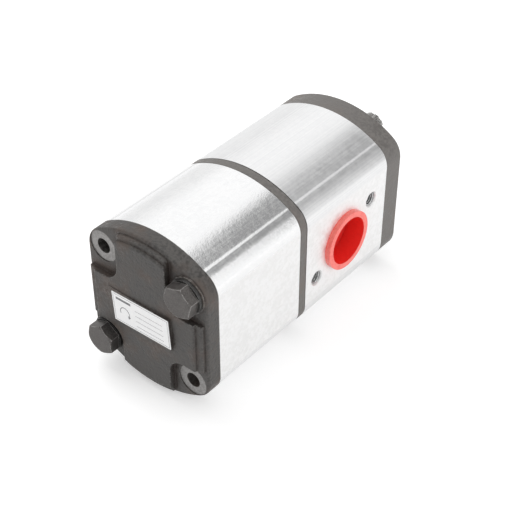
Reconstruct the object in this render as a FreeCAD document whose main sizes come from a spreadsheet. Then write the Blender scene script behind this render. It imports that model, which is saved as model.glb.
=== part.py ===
# Tandem hydraulic gear pump with two gear sections on one drive line.
# Millimetres. The origin is where the drive shaft's axis meets the mounting face.
# +X points out along the splined shaft, +Z points up, and the suction port faces -Y.
import FreeCAD, Part
import math
import os
import re
import Sketcher
from FreeCAD import Placement, Rotation, Vector

doc = FreeCAD.newDocument("hydraulic_pump")

# Driving dimensions, one cell each.
SIZES = {
    "casing_width": 82.8,
    "casing_height": 98.4,
    "arch_radius": 64.8,
    "corner_radius": 14.1,
    "front_cover_thickness": 14.0,
    "front_cover_rounding": 0.8,
    "plate_thickness": 6.0,
    "plate_chamfer": 0.6,
    "corner_hole_inset": 11.4,
    "corner_hole_drop": 19.2,
    "hole_to_seal": 0.5,
    "mounting_hole": 9.0,
    "clamp_bolt": 10.0,
    "clamp_hole_slack": 0.6,
    "thread_slack": 0.1,
    "clamp_bolt_recess": 1.0,
    "bolt_flats": 17.0,
    "bolt_head_height": 6.4,
    "bolt_face_diameter": 16.4,
    "bolt_chamfer_angle": 29.0,
    "bolt_tip_chamfer": 1.2,
    "upper_bolt_turn": 43.0,
    "lower_bolt_turn": 35.5,
    "washer_diameter": 20.0,
    "washer_thickness": 2.0,
    "centre_distance": 34.0,
    "tooth_count": 12,
    "working_angle": 24.2,
    "addendum": 3.0,
    "root_clearance": 0.7,
    "backlash": 0.08,
    "tip_gap": 0.1,
    "front_gear_width": 33.2,
    "rear_gear_width": 25.8,
    "gear_end_play": 0.05,
    "journal_diameter": 18.0,
    "journal_length": 16.0,
    "journal_gap": 0.03,
    "journal_chamfer": 0.6,
    "bush_wall": 1.0,
    "block_length": 20.1,
    "block_gap": 0.05,
    "block_float": 0.1,
    "relief_pocket_depth": 1.5,
    "relief_pocket_reach": 7.5,
    "relief_pocket_height": 5.0,
    "relief_pocket_land": 3.4,
    "axial_seal_width": 2.2,
    "axial_seal_depth": 1.8,
    "axial_seal_slack": 0.1,
    "axial_seal_lap": 0.2,
    "axial_seal_opening": 3.0,
    "backup_thickness": 0.6,
    "shaft_seat_x": 7.5,
    "shaft_reach": 33.0,
    "spline_diameter": 15.4,
    "spline_root": 12.2,
    "spline_length": 24.0,
    "spline_teeth": 9,
    "spline_gap_floor": 1.5,
    "spline_gap_mouth": 3.1,
    "spline_gap_over": 1.0,
    "shaft_chamfer": 1.2,
    "stub_diameter": 12.0,
    "stub_root": 9.6,
    "stub_length": 6.0,
    "stub_gap_floor": 1.1,
    "stub_gap_mouth": 2.4,
    "coupling_diameter": 17.0,
    "coupling_length": 13.2,
    "coupling_slack": 0.1,
    "coupling_hole": 18.5,
    "pilot_diameter": 50.0,
    "pilot_height": 8.0,
    "pilot_chamfer": 0.8,
    "ring_section": 2.2,
    "ring_groove_width": 3.0,
    "ring_groove_start": 3.0,
    "ring_below_pilot": 0.05,
    "seal_bore": 32.0,
    "seal_width": 7.0,
    "seal_inset": 2.5,
    "seal_lip_gap": 0.05,
    "seal_wall": 1.6,
    "seal_mouth": 1.6,
    "seal_lip_base": 2.4,
    "seal_lip_thickness": 1.4,
    "seal_lip_place": 1.2,
    "seal_lip_land": 0.4,
    "seal_lip_lead": 1.0,
    "circlip_thickness": 1.2,
    "circlip_bite": 1.0,
    "circlip_band": 2.6,
    "circlip_gap": 9.0,
    "circlip_lug": 5.0,
    "circlip_eye": 2.0,
    "circlip_lug_inset": 1.2,
    "cover_shaft_slack": 1.0,
    "body_seal_land": 1.5,
    "body_seal_width": 2.3,
    "body_seal_depth": 1.8,
    "body_seal_slack": 0.1,
    "dowel_diameter": 6.0,
    "dowel_depth": 6.0,
    "dowel_inset": 7.4,
    "dowel_slack": 0.02,
    "channel_diameter": 12.0,
    "channel_offset": 14.6,
    "suction_shift": 1.9,
    "suction_mouth": 32.2,
    "suction_mouth_depth": 13.0,
    "suction_bore": 25.0,
    "suction_flange": 36.0,
    "suction_screw_pitch": 56.0,
    "pressure_mouth": 26.4,
    "pressure_mouth_depth": 12.0,
    "pressure_bore": 18.0,
    "pressure_flange": 30.0,
    "pressure_screw_pitch": 47.0,
    "port_screw_tilt": 28.0,
    "port_screw": 8.0,
    "port_screw_depth": 16.0,
    "plug_flange_thickness": 3.2,
    "plug_wall": 1.5,
    "plug_floor": 1.6,
    "plug_taper": 0.6,
    "plug_depth": 10.5,
    "plug_slack": 0.1,
    "flange_thickness": 9.3,
    "flange_rounding": 1.6,
    "spot_face_diameter": 18.8,
    "spot_face_depth": 0.5,
    "bolt_boss_diameter": 21.5,
    "bolt_boss_height": 1.0,
    "ledge_height": 2.2,
    "ledge_inset": 1.9,
    "ledge_rounding": 1.0,
    "crown_height": 3.8,
    "crown_side_inset": 5.8,
    "crown_top_inset": 4.6,
    "crown_rounding": 1.4,
    "corner_pocket_reach": 12.8,
    "upper_pocket_drop": 16.0,
    "lower_pocket_rise": 12.0,
    "corner_pocket_radius": 10.4,
    "label_pad_left": 24.5,
    "label_pad_right": 19.8,
    "label_pad_height": 20.4,
    "label_pad_drop": 1.2,
    "label_pad_low": 0.4,
    "label_pad_proud": 1.7,
    "label_pad_rounding": 0.3,
}

# Sizes worked out from the driving ones.
PLACES = {
    "half_width": "casing_width / 2",
    "half_height": "casing_height / 2",
    "hole_height": "half_height - corner_hole_drop",
    "dowel_place": "half_width - dowel_inset",
    "shaft_rise": "centre_distance / 2",
    "mid_height": "-centre_distance / 2",
    "bore_diameter": "centre_distance + 2 * addendum + 2 * tip_gap",
    "clamp_hole": "clamp_bolt + clamp_hole_slack",
    "body_seal_inner": "bore_diameter / 2 + body_seal_land",
    "seal_reach": "body_seal_inner + body_seal_width + body_seal_slack",
    "hole_reach": "seal_reach + hole_to_seal + clamp_hole / 2",
    "hole_clear": "sqrt(max(0; hole_reach ^ 2 - (hole_height - shaft_rise) ^ 2))",
    "hole_place": "max(half_width - corner_hole_inset; hole_clear)",
    "section_slack": "2 * block_length + 2 * gear_end_play + 2 * block_float",
    "front_body_length": "front_gear_width + section_slack",
    "rear_body_length": "rear_gear_width + section_slack",
    "front_body_x": "-front_cover_thickness",
    "plate_x": "front_body_x - front_body_length",
    "rear_body_x": "plate_x - plate_thickness",
    "rear_cover_x": "rear_body_x - rear_body_length",
    "gear_setback": "block_float + block_length + gear_end_play",
    "front_gear_x": "front_body_x - gear_setback",
    "rear_gear_x": "rear_body_x - gear_setback",
    "bush_diameter": "journal_diameter + 2 * journal_gap + 2 * bush_wall",
    "block_diameter": "bore_diameter - 2 * block_gap",
    "axial_seal_inner": "centre_distance - 2 * axial_seal_lap",
    "axial_seal_outer": "axial_seal_inner + 2 * axial_seal_width",
    "seal_shelf_x": "pilot_height - seal_inset - seal_width",
    "circlip_x": "pilot_height - seal_inset",
    "ring_floor": "pilot_diameter / 2 - ring_below_pilot - ring_section",
    "washer_seat_x": "rear_cover_x - flange_thickness - bolt_boss_height",
    "head_seat_x": "washer_seat_x - washer_thickness",
    "bolt_length": "-clamp_bolt_recess - head_seat_x",
    "coupling_x": "plate_x - plate_thickness / 2 - coupling_length / 2",
}

size_sheet = doc.addObject("Spreadsheet::Sheet", "Size")
for row, (alias, value) in enumerate(SIZES.items(), start=1):
    size_sheet.set(f"A{row}", alias.replace("_", " "))
    size_sheet.set(f"B{row}", str(value))
    size_sheet.setAlias(f"B{row}", alias)


def full(text):
    """Write the sheet's name before each size in an expression."""
    def sheet_of(match):
        word = match.group(0)
        if word in SIZES:
            return f"Size.{word}"
        return f"Layout.{word}" if word in PLACES else word
    return re.sub(r"[a-z][a-z_]*", sheet_of, text)


layout_sheet = doc.addObject("Spreadsheet::Sheet", "Layout")
for row, (alias, formula) in enumerate(PLACES.items(), start=1):
    layout_sheet.set(f"A{row}", alias.replace("_", " "))
    layout_sheet.set(f"B{row}", "=" + full(formula))
    layout_sheet.setAlias(f"B{row}", alias)
doc.recompute()


def num(text):
    """The present value of an expression."""
    value = layout_sheet.evalExpression(full(text))
    return float(getattr(value, "Value", value))


# Sketch helpers: every point, radius and length is tied to the sheets.
def constrain(sketch, kind, *where, value=None):
    if value is None:
        sketch.addConstraint(Sketcher.Constraint(kind, *where))
        return
    index = sketch.addConstraint(Sketcher.Constraint(kind, *where, num(value)))
    sketch.setExpression(f"Constraints[{index}]", full(value))


def pin_point(sketch, geometry, point, x, y):
    """Hold a point at x, y from the sketch's origin."""
    for kind, other_axis, place in (("DistanceX", -2, x), ("DistanceY", -1, y)):
        if abs(num(place)) < 1e-9:
            constrain(sketch, "PointOnObject", geometry, point, other_axis)
        elif num(place) > 0:
            constrain(sketch, kind, -1, 1, geometry, point, value=place)
        else:
            constrain(sketch, kind, geometry, point, -1, 1, value=f"-({place})")


def circle(sketch, x, y, diameter):
    shape = Part.Circle(Vector(num(x), num(y), 0), Vector(0, 0, 1), num(diameter) / 2)
    geometry = sketch.addGeometry(shape, False)
    pin_point(sketch, geometry, 3, x, y)
    constrain(sketch, "Diameter", geometry, value=diameter)


def polygon(sketch, points):
    corners = [Vector(num(x), num(y), 0) for x, y in points]
    first = sketch.GeometryCount
    for start, end in zip(corners, corners[1:] + corners[:1]):
        sketch.addGeometry(Part.LineSegment(start, end), False)
    for index, (x, y) in enumerate(points):
        constrain(sketch, "Coincident", first + index - 1 if index else first + len(points) - 1, 2,
                  first + index, 1)
        pin_point(sketch, first + index, 1, x, y)


def arc(x, y, radius, start, end):
    return Part.ArcOfCircle(Part.Circle(Vector(x, y, 0), Vector(0, 0, 1), radius), start, end)


def join_smoothly(sketch, first, count):
    """Tangent joins round a closed chain whose pieces all run the same way."""
    for step in range(count):
        constrain(sketch, "Tangent", first + step, 2, first + (step + 1) % count, 1)


def arched_outline(sketch, half_width, half_height, arch, corner):
    """Flat sides, an arched top and bottom, and a round corner between each pair."""
    side, apex, arch_r, corner_r = (num(size) for size in (half_width, half_height, arch, corner))
    arch_y = apex - arch_r
    reach = arch_r - corner_r
    corner_x = side - corner_r
    corner_y = arch_y + math.sqrt(reach ** 2 - corner_x ** 2)
    turn = math.atan2(corner_y - arch_y, corner_x)
    first = sketch.GeometryCount
    sketch.addGeometry([
        Part.LineSegment(Vector(side, -corner_y, 0), Vector(side, corner_y, 0)),
        arc(corner_x, corner_y, corner_r, 0, turn),
        arc(0, arch_y, arch_r, turn, math.pi - turn),
        arc(-corner_x, corner_y, corner_r, math.pi - turn, math.pi),
        Part.LineSegment(Vector(-side, corner_y, 0), Vector(-side, -corner_y, 0)),
        arc(-corner_x, -corner_y, corner_r, math.pi, math.pi + turn),
        arc(0, -arch_y, arch_r, math.pi + turn, 2 * math.pi - turn),
        arc(corner_x, -corner_y, corner_r, -turn, 0),
    ], False)
    right, corners, top, left, bottom = first, (1, 3, 5, 7), first + 2, first + 4, first + 6
    join_smoothly(sketch, first, 8)
    constrain(sketch, "Vertical", right)
    constrain(sketch, "Vertical", left)
    constrain(sketch, "DistanceX", -1, 1, right, 1, value=half_width)
    constrain(sketch, "DistanceX", left, 1, -1, 1, value=half_width)
    constrain(sketch, "PointOnObject", top, 3, -2)
    constrain(sketch, "PointOnObject", bottom, 3, -2)
    constrain(sketch, "DistanceY", top, 3, -1, 1, value=f"({arch}) - ({half_height})")
    constrain(sketch, "DistanceY", -1, 1, bottom, 3, value=f"({arch}) - ({half_height})")
    constrain(sketch, "Radius", top, value=arch)
    constrain(sketch, "Equal", top, bottom)
    constrain(sketch, "Radius", first + corners[0], value=corner)
    for other in corners[1:]:
        constrain(sketch, "Equal", first + corners[0], first + other)


def stadium(sketch, half_distance, radius):
    """Two half circles, above and below the middle, joined by straight sides."""
    rise, turn_r = num(half_distance), num(radius)
    first = sketch.GeometryCount
    sketch.addGeometry([
        Part.LineSegment(Vector(turn_r, -rise, 0), Vector(turn_r, rise, 0)),
        arc(0, rise, turn_r, 0, math.pi),
        Part.LineSegment(Vector(-turn_r, rise, 0), Vector(-turn_r, -rise, 0)),
        arc(0, -rise, turn_r, math.pi, 2 * math.pi),
    ], False)
    join_smoothly(sketch, first, 4)
    constrain(sketch, "PointOnObject", first + 1, 3, -2)
    constrain(sketch, "PointOnObject", first + 3, 3, -2)
    constrain(sketch, "DistanceY", -1, 1, first + 1, 3, value=half_distance)
    constrain(sketch, "DistanceY", first + 3, 3, -1, 1, value=half_distance)
    constrain(sketch, "Radius", first + 1, value=radius)
    constrain(sketch, "Equal", first + 1, first + 3)


# Body and feature helpers.
def new_body(node, x="0", y="0", z="0", turn=0.0):
    """A body placed at x, y, z and turned about Z."""
    body = doc.addObject("PartDesign::Body", node)
    body.Label = node
    body.Placement = Placement(Vector(0, 0, 0), Rotation(Vector(0, 0, 1), turn))
    for axis, place in zip("xyz", (x, y, z)):
        body.setExpression(f"Placement.Base.{axis}", full(place))
    return body


def origin_part(body, role):
    return next(part for part in body.Origin.OriginFeatures if part.Role == role)


def new_sketch(body, name, plane="YZ_Plane", offset="0", rise="0"):
    """A sketch parallel to a plane of the body, moved along its normal and up."""
    sketch = body.newObject("Sketcher::SketchObject", f"{body.Name}_{name}")
    sketch.AttachmentSupport = [(origin_part(body, plane), "")]
    sketch.MapMode = "FlatFace"
    sketch.setExpression("AttachmentOffset.Base.z", full(offset))
    sketch.setExpression("AttachmentOffset.Base.y", full(rise))
    return sketch


def section_sketch(body, name, offset="0"):
    """A cross-section sketch centred on the casing's middle."""
    return new_sketch(body, name, "YZ_Plane", offset, "mid_height")


def feature(body, kind, sketch, length=None, **settings):
    made = body.newObject(f"PartDesign::{kind}", f"{sketch.Name}_{kind.lower()}")
    made.Profile = sketch
    if length is not None:
        made.setExpression("Length", full(length))
    for setting, value in settings.items():
        setattr(made, setting, value)
    body.Tip = made
    return made


def pad_back(body, sketch, length):
    """Add material from the sketch towards -X."""
    return feature(body, "Pad", sketch, length, Reversed=True)


def cut_back(body, sketch, length=None):
    """Cut from the sketch towards -X, right through where no length is given."""
    if length is None:
        return feature(body, "Pocket", sketch, Type="ThroughAll")
    return feature(body, "Pocket", sketch, length)


def cut_forward(body, sketch, length):
    """Cut from the sketch towards +X."""
    return feature(body, "Pocket", sketch, length, Reversed=True)


def turned(body, name, kind, points):
    """Revolve or groove a profile of (x, radius) points about the body's X axis."""
    sketch = new_sketch(body, name, "XY_Plane")
    polygon(sketch, points)
    return feature(body, kind, sketch, ReferenceAxis=(sketch, ["H_Axis"]), Angle=360.0)


def dress_edges(body, kind, size, wanted):
    """Fillet or chamfer the edges for which wanted(edge) holds."""
    doc.recompute()
    base = body.Tip
    names = [f"Edge{index}" for index, edge in enumerate(base.Shape.Edges, start=1) if wanted(edge)]
    made = body.newObject(f"PartDesign::{kind}", f"{base.Name}_{kind.lower()}")
    made.Base = (base, names)
    made.setExpression("Radius" if kind == "Fillet" else "Size", full(size))
    body.Tip = made
    return made


def flat_at(edge, x):
    """Whether an edge lies in the plane at x."""
    return all(abs(edge.valueAt(at).x - x) < 1e-4 for at in
               (edge.FirstParameter, (edge.FirstParameter + edge.LastParameter) / 2, edge.LastParameter))


def reaches(edge):
    """How far an edge's box stands from the casing's middle, across and up."""
    box = edge.BoundBox
    middle = num("mid_height")
    return max(abs(box.YMin), abs(box.YMax)), max(abs(box.ZMin - middle), abs(box.ZMax - middle))


# Solids of Part, for round pieces that lie along X.
def cylinder(name, diameter, length, x, z="0", y="0"):
    made = doc.addObject("Part::Cylinder", name)
    made.setExpression("Radius", full(f"({diameter}) / 2"))
    made.setExpression("Height", full(length))
    made.Placement = Placement(Vector(0, 0, 0), Rotation(Vector(0, 1, 0), 90))
    for axis, place in zip("xyz", (x, y, z)):
        made.setExpression(f"Placement.Base.{axis}", full(place))
    return made


def block_box(name, low, lengths):
    made = doc.addObject("Part::Box", name)
    for side, length in zip(("Length", "Width", "Height"), lengths):
        made.setExpression(side, full(length))
    for axis, place in zip("xyz", low):
        made.setExpression(f"Placement.Base.{axis}", full(place))
    return made


def fuse(name, pieces):
    made = doc.addObject("Part::MultiFuse", name)
    made.Shapes = pieces
    return made


def cut(name, base, tool):
    made = doc.addObject("Part::Cut", name)
    made.Base = base
    made.Tool = tool
    made.Label = name
    return made


def ring(name, outer, inner, length, x, z="0", y="0"):
    return cut(name, cylinder(f"{name}_outside", outer, length, x, z, y),
               cylinder(f"{name}_hole", inner, length, x, z, y))


# Holes that all casing pieces share.
MOUNTING_CORNERS = (("hole_place", "hole_height"), ("-hole_place", "-hole_height"))
CLAMP_CORNERS = {"upper": ("-hole_place", "hole_height"), "lower": ("hole_place", "-hole_height")}
DOWEL_SIDES = {"port_side": "-dowel_place", "far_side": "dowel_place"}


def corner_holes(body, clamp_diameter="clamp_hole"):
    """Two holes for the mounting screws and two for the clamping bolts."""
    sketch = section_sketch(body, "corner_holes")
    for y, z in MOUNTING_CORNERS:
        circle(sketch, y, z, "mounting_hole")
    for y, z in CLAMP_CORNERS.values():
        circle(sketch, y, z, clamp_diameter)
    cut_back(body, sketch)


def dowel_sketch(body, name, offset="0"):
    sketch = section_sketch(body, name, offset)
    for y in DOWEL_SIDES.values():
        circle(sketch, y, "0", "dowel_diameter + 2 * dowel_slack")
    return sketch


def seal_track(sketch, slack):
    """The path of a casing seal round both gear bores."""
    stadium(sketch, "shaft_rise", f"body_seal_inner - {slack}")
    stadium(sketch, "shaft_rise", f"body_seal_inner + body_seal_width + {slack}")


def casing_blank(node, x, length):
    body = new_body(node, x=x)
    sketch = section_sketch(body, "outline")
    arched_outline(sketch, "half_width", "half_height", "arch_radius", "corner_radius")
    pad_back(body, sketch, length)
    return body


# Casing: front cover, two gear housings, plate between them, rear cover.
def front_cover():
    body = casing_blank("front_cover", "0", "front_cover_thickness")
    dress_edges(body, "Fillet", "front_cover_rounding", lambda edge: flat_at(edge, 0))
    turned(body, "pilot", "Revolution", [
        ("-front_cover_thickness / 2", "0"),
        ("-front_cover_thickness / 2", "pilot_diameter / 2"),
        ("ring_groove_start", "pilot_diameter / 2"),
        ("ring_groove_start", "ring_floor"),
        ("ring_groove_start + ring_groove_width", "ring_floor"),
        ("ring_groove_start + ring_groove_width", "pilot_diameter / 2"),
        ("pilot_height - pilot_chamfer", "pilot_diameter / 2"),
        ("pilot_height", "pilot_diameter / 2 - pilot_chamfer"),
        ("pilot_height", "0"),
    ])
    shaft_hole = "(journal_diameter + cover_shaft_slack) / 2"
    turned(body, "shaft_bore", "Groove", [
        ("-front_cover_thickness", "0"),
        ("-front_cover_thickness", shaft_hole),
        ("seal_shelf_x", shaft_hole),
        ("seal_shelf_x", "seal_bore / 2"),
        ("circlip_x", "seal_bore / 2"),
        ("circlip_x", "seal_bore / 2 + circlip_bite"),
        ("circlip_x + circlip_thickness", "seal_bore / 2 + circlip_bite"),
        ("circlip_x + circlip_thickness", "seal_bore / 2"),
        ("pilot_height", "seal_bore / 2"),
        ("pilot_height", "0"),
    ])
    corner_holes(body, "clamp_bolt + thread_slack")
    cut_forward(body, dowel_sketch(body, "dowel_holes", "-front_cover_thickness"), "dowel_depth")


def gear_housing(node, x, length):
    """A housing with both gear bores, seal grooves on its ends, and its holes."""
    body = casing_blank(node, x, length)
    for name, z in (("drive_bore", "shaft_rise"), ("driven_bore", "-shaft_rise")):
        sketch = section_sketch(body, name)
        circle(sketch, "0", z, "bore_diameter")
        cut_back(body, sketch)
    corner_holes(body)
    for name, offset, cut_way in (("front", "0", cut_back), ("rear", f"-{length}", cut_forward)):
        sketch = section_sketch(body, f"{name}_seal_groove", offset)
        seal_track(sketch, "body_seal_slack")
        cut_way(body, sketch, "body_seal_depth")
        cut_way(body, dowel_sketch(body, f"{name}_dowel_holes", offset), "dowel_depth")
    return body


def port(body, name, kind, x, from_left):
    """A round port with its mouth and two tapped holes, cut from one side of a housing."""
    offset = "half_width" if from_left else "-half_width"
    cut_deep = "half_width - bore_diameter / 4"
    cuts = (("mouth", f"{kind}_mouth", f"{kind}_mouth_depth"), ("passage", f"{kind}_bore", cut_deep))
    for step, diameter, depth in cuts:
        sketch = new_sketch(body, f"{name}_{step}", "XZ_Plane", offset, "mid_height")
        circle(sketch, x, "0", diameter)
        feature(body, "Pocket", sketch, depth, Reversed=not from_left)
    along = f"{kind}_screw_pitch / 2 * cos(port_screw_tilt)"
    up = f"{kind}_screw_pitch / 2 * sin(port_screw_tilt)"
    sketch = new_sketch(body, f"{name}_screws", "XZ_Plane", offset, "mid_height")
    circle(sketch, f"{x} + {along}", up, "port_screw")
    circle(sketch, f"{x} - {along}", f"-{up}", "port_screw")
    feature(body, "Pocket", sketch, "port_screw_depth", Reversed=not from_left)


def suction_channel(body, offset, length):
    """The passage that feeds the rear section, beside the gear bores on the suction side."""
    sketch = section_sketch(body, "suction_channel", offset)
    circle(sketch, "-channel_offset", "0", "channel_diameter")
    return cut_back(body, sketch, length)


def front_body():
    body = gear_housing("front_body", "front_body_x", "front_body_length")
    middle = "-front_body_length / 2"
    port(body, "suction_port", "suction", f"{middle} - suction_shift", True)
    port(body, "pressure_port", "pressure", middle, False)
    suction_channel(body, middle, "front_body_length / 2")


def rear_body():
    body = gear_housing("rear_body", "rear_body_x", "rear_body_length")
    port(body, "pressure_port", "pressure", "-rear_body_length / 2", False)
    suction_channel(body, "0", "rear_body_length / 2")


def intermediate_plate():
    body = casing_blank("intermediate_plate", "plate_x", "plate_thickness")
    dress_edges(body, "Chamfer", "plate_chamfer",
                lambda edge: flat_at(edge, 0) or flat_at(edge, -num("plate_thickness")))
    corner_holes(body)
    cut_back(body, dowel_sketch(body, "dowel_holes"))
    sketch = section_sketch(body, "passages")
    circle(sketch, "0", "shaft_rise", "coupling_hole")
    circle(sketch, "-channel_offset", "0", "channel_diameter")
    cut_back(body, sketch)


def rear_cover():
    body = casing_blank("rear_cover", "rear_cover_x", "flange_thickness")
    flange_face = -num("flange_thickness")
    dress_edges(body, "Fillet", "flange_rounding", lambda edge: flat_at(edge, flange_face))
    steps = (("ledge", "ledge_height", "ledge_inset", "ledge_inset", "ledge_rounding"),
             ("crown", "crown_height", "crown_side_inset", "crown_top_inset", "crown_rounding"))
    for name, height, side_inset, top_inset, rounding in steps:
        sketch = section_sketch(body, name)
        arched_outline(sketch, f"half_width - {side_inset}", f"half_height - {top_inset}",
                       f"arch_radius - {top_inset}", f"corner_radius - {top_inset}")
        pad_back(body, sketch, f"flange_thickness + {height}")
        top = -num(f"flange_thickness + {height}")
        dress_edges(body, "Fillet", rounding, lambda edge: flat_at(edge, top))
    sketch = section_sketch(body, "corner_pockets", "-flange_thickness")
    near_y = "hole_place - corner_pocket_reach"
    near_z = {"": "hole_height - upper_pocket_drop", "-": "hole_height - lower_pocket_rise"}
    for side in ("", "-"):
        for up, height in near_z.items():
            inner_y, inner_z = f"{side}({near_y})", f"{up}({height})"
            outer_y, outer_z = f"{side}casing_width", f"{up}casing_height"
            polygon(sketch, [(inner_y, inner_z), (outer_y, inner_z), (outer_y, outer_z), (inner_y, outer_z)])
    cut_back(body, sketch)
    inner = [(num(near_y), num(height)) for height in near_z.values()]
    dress_edges(body, "Fillet", "corner_pocket_radius", lambda edge: edge.BoundBox.XLength > 1
                and min(math.dist(reaches(edge), corner) for corner in inner) < 1e-4)
    label_pad(body)
    sketch = section_sketch(body, "bolt_bosses", "-flange_thickness")
    for y, z in CLAMP_CORNERS.values():
        circle(sketch, y, z, "bolt_boss_diameter")
    pad_back(body, sketch, "bolt_boss_height")
    sketch = section_sketch(body, "spot_faces", "spot_face_depth - flange_thickness")
    for y, z in MOUNTING_CORNERS:
        circle(sketch, y, z, "spot_face_diameter")
    cut_back(body, sketch)
    corner_holes(body)
    cut_back(body, dowel_sketch(body, "dowel_holes"), "dowel_depth")


def label_pad(body):
    """The raised pad for the label, which stands further out on its port side."""
    sketch = new_sketch(body, "label_pad", "XY_Plane",
                        "mid_height - label_pad_drop - label_pad_height / 2")
    crown = "-flange_thickness - crown_height"
    polygon(sketch, [
        ("-flange_thickness", "-label_pad_right"),
        ("-flange_thickness", "label_pad_left"),
        (f"{crown} - label_pad_low", "label_pad_left"),
        (f"{crown} - label_pad_proud", "-label_pad_right"),
    ])
    feature(body, "Pad", sketch, "label_pad_height")
    crown_face = num(crown)
    dress_edges(body, "Fillet", "label_pad_rounding", lambda edge: edge.BoundBox.XMax < crown_face - 1e-3)


# Gears: true involute teeth that mesh at the working centre distance.
def tooth_outline(first_tooth):
    """Edges of a gear's outline, with one tooth centred at the angle first_tooth."""
    teeth = int(num("tooth_count"))
    pitch_r = num("centre_distance / 2")
    working = math.radians(num("working_angle"))
    base_r = pitch_r * math.cos(working)
    tip_r = pitch_r + num("addendum")
    root_r = pitch_r - num("addendum + root_clearance")
    half_base = ((math.pi * pitch_r / teeth - num("backlash") / 2) / (2 * pitch_r)
                 + math.tan(working) - working)
    unwind_tip = math.sqrt((tip_r / base_r) ** 2 - 1)
    arcs = 2

    def at(radius, angle):
        return Vector(radius * math.cos(angle), radius * math.sin(angle), 0)

    def flank(middle, way):
        """Involute points from the base circle to the tip, on one side of a tooth."""
        points = []
        for step in range(2 * arcs + 1):
            unwind = unwind_tip * step / (2 * arcs)
            angle = half_base - (unwind - math.atan(unwind))
            points.append(at(base_r * math.hypot(1, unwind), middle + way * angle))
        return points

    def arc_chain(points):
        """Arcs through every second point, within a hundredth of the involute."""
        return [Part.Arc(*points[start:start + 3]) for start in range(0, 2 * arcs, 2)]

    edges = []
    for tooth in range(teeth):
        middle = first_tooth + 2 * math.pi * tooth / teeth
        rising, falling = flank(middle, -1), flank(middle, 1)[::-1]
        next_tooth = at(base_r, middle + 2 * math.pi / teeth - half_base)
        edges += [
            *arc_chain(rising),
            Part.Arc(rising[-1], at(tip_r, middle), falling[0]),
            *arc_chain(falling),
            Part.Arc(falling[-1], at(root_r, middle + math.pi / teeth), next_tooth),
        ]
    return edges


def toothed_body(node, x, z, width, first_tooth):
    body = new_body(node, x=x, z=z)
    sketch = new_sketch(body, "teeth")
    sketch.addGeometry(tooth_outline(first_tooth), False)
    pad_back(body, sketch, width)
    return body


def journal(width, side):
    """Profile points of a plain journal that ends in a chamfer, from the gear outwards."""
    face, way = ("0", "+") if side > 0 else (f"-{width}", "-")
    end = f"{face} {way} journal_length"
    return [
        (f"{end} {'-' if side > 0 else '+'} journal_chamfer", "journal_diameter / 2"),
        (end, "journal_diameter / 2 - journal_chamfer"),
    ]


def spline_cut(body, name, offset, length, root, outside, floor, mouth):
    """Cut the gaps of an outside spline towards -X, one and then all round."""
    sketch = new_sketch(body, name, "YZ_Plane", offset)
    polygon(sketch, [
        (f"-({floor}) / 2", f"({root}) / 2"),
        (f"({floor}) / 2", f"({root}) / 2"),
        (f"({mouth}) / 2", f"({outside}) / 2 + spline_gap_over"),
        (f"-({mouth}) / 2", f"({outside}) / 2 + spline_gap_over"),
    ])
    gap = cut_back(body, sketch, length)
    return polar(body, gap, "spline_teeth")


def polar(body, original, count):
    pattern = body.newObject("PartDesign::PolarPattern", f"{original.Name}_round")
    pattern.Originals = [original]
    pattern.Axis = (origin_part(body, "X_Axis"), [""])
    pattern.Angle = 360.0
    pattern.setExpression("Occurrences", full(count))
    body.Tip = pattern
    return pattern


TOWARDS_DRIVEN = -math.pi / 2
TOWARDS_DRIVE = math.pi / 2 + math.pi / num("tooth_count")
STUB_SPLINE = ("stub_root", "stub_diameter", "stub_gap_floor", "stub_gap_mouth")


def front_drive_gear():
    """The drive gear in one piece with the splined input shaft."""
    body = toothed_body("front_drive_gear", "front_gear_x", "0", "front_gear_width", TOWARDS_DRIVEN)
    seat, end = "shaft_seat_x - front_gear_x", "shaft_reach - front_gear_x"
    aft = journal("front_gear_width", -1)
    stub_start = "-front_gear_width - journal_length"
    turned(body, "shaft", "Revolution", [
        (f"{stub_start} - stub_length", "0"),
        (f"{stub_start} - stub_length", "stub_diameter / 2"),
        (stub_start, "stub_diameter / 2"),
        *reversed(aft),
        (seat, "journal_diameter / 2"),
        (seat, "spline_diameter / 2"),
        (f"{end} - shaft_chamfer", "spline_diameter / 2"),
        (end, "spline_diameter / 2 - shaft_chamfer"),
        (end, "0"),
    ])
    spline_cut(body, "input_spline", end, "spline_length",
               "spline_root", "spline_diameter", "spline_gap_floor", "spline_gap_mouth")
    spline_cut(body, "coupling_spline", stub_start, "stub_length", *STUB_SPLINE)


def rear_drive_gear():
    body = toothed_body("rear_drive_gear", "rear_gear_x", "0", "rear_gear_width", TOWARDS_DRIVEN)
    stub_end = "journal_length + stub_length"
    turned(body, "shaft", "Revolution", [
        ("-rear_gear_width - journal_length", "0"),
        *reversed(journal("rear_gear_width", -1)),
        *journal("rear_gear_width", 1),
        ("journal_length", "stub_diameter / 2"),
        (stub_end, "stub_diameter / 2"),
        (stub_end, "0"),
    ])
    spline_cut(body, "coupling_spline", stub_end, "stub_length", *STUB_SPLINE)


def driven_gear(node, x, width):
    body = toothed_body(node, x, "-centre_distance", width, TOWARDS_DRIVE)
    turned(body, "shaft", "Revolution", [
        (f"-{width} - journal_length", "0"),
        *reversed(journal(width, -1)),
        *journal(width, 1),
        ("journal_length", "0"),
    ])


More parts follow.
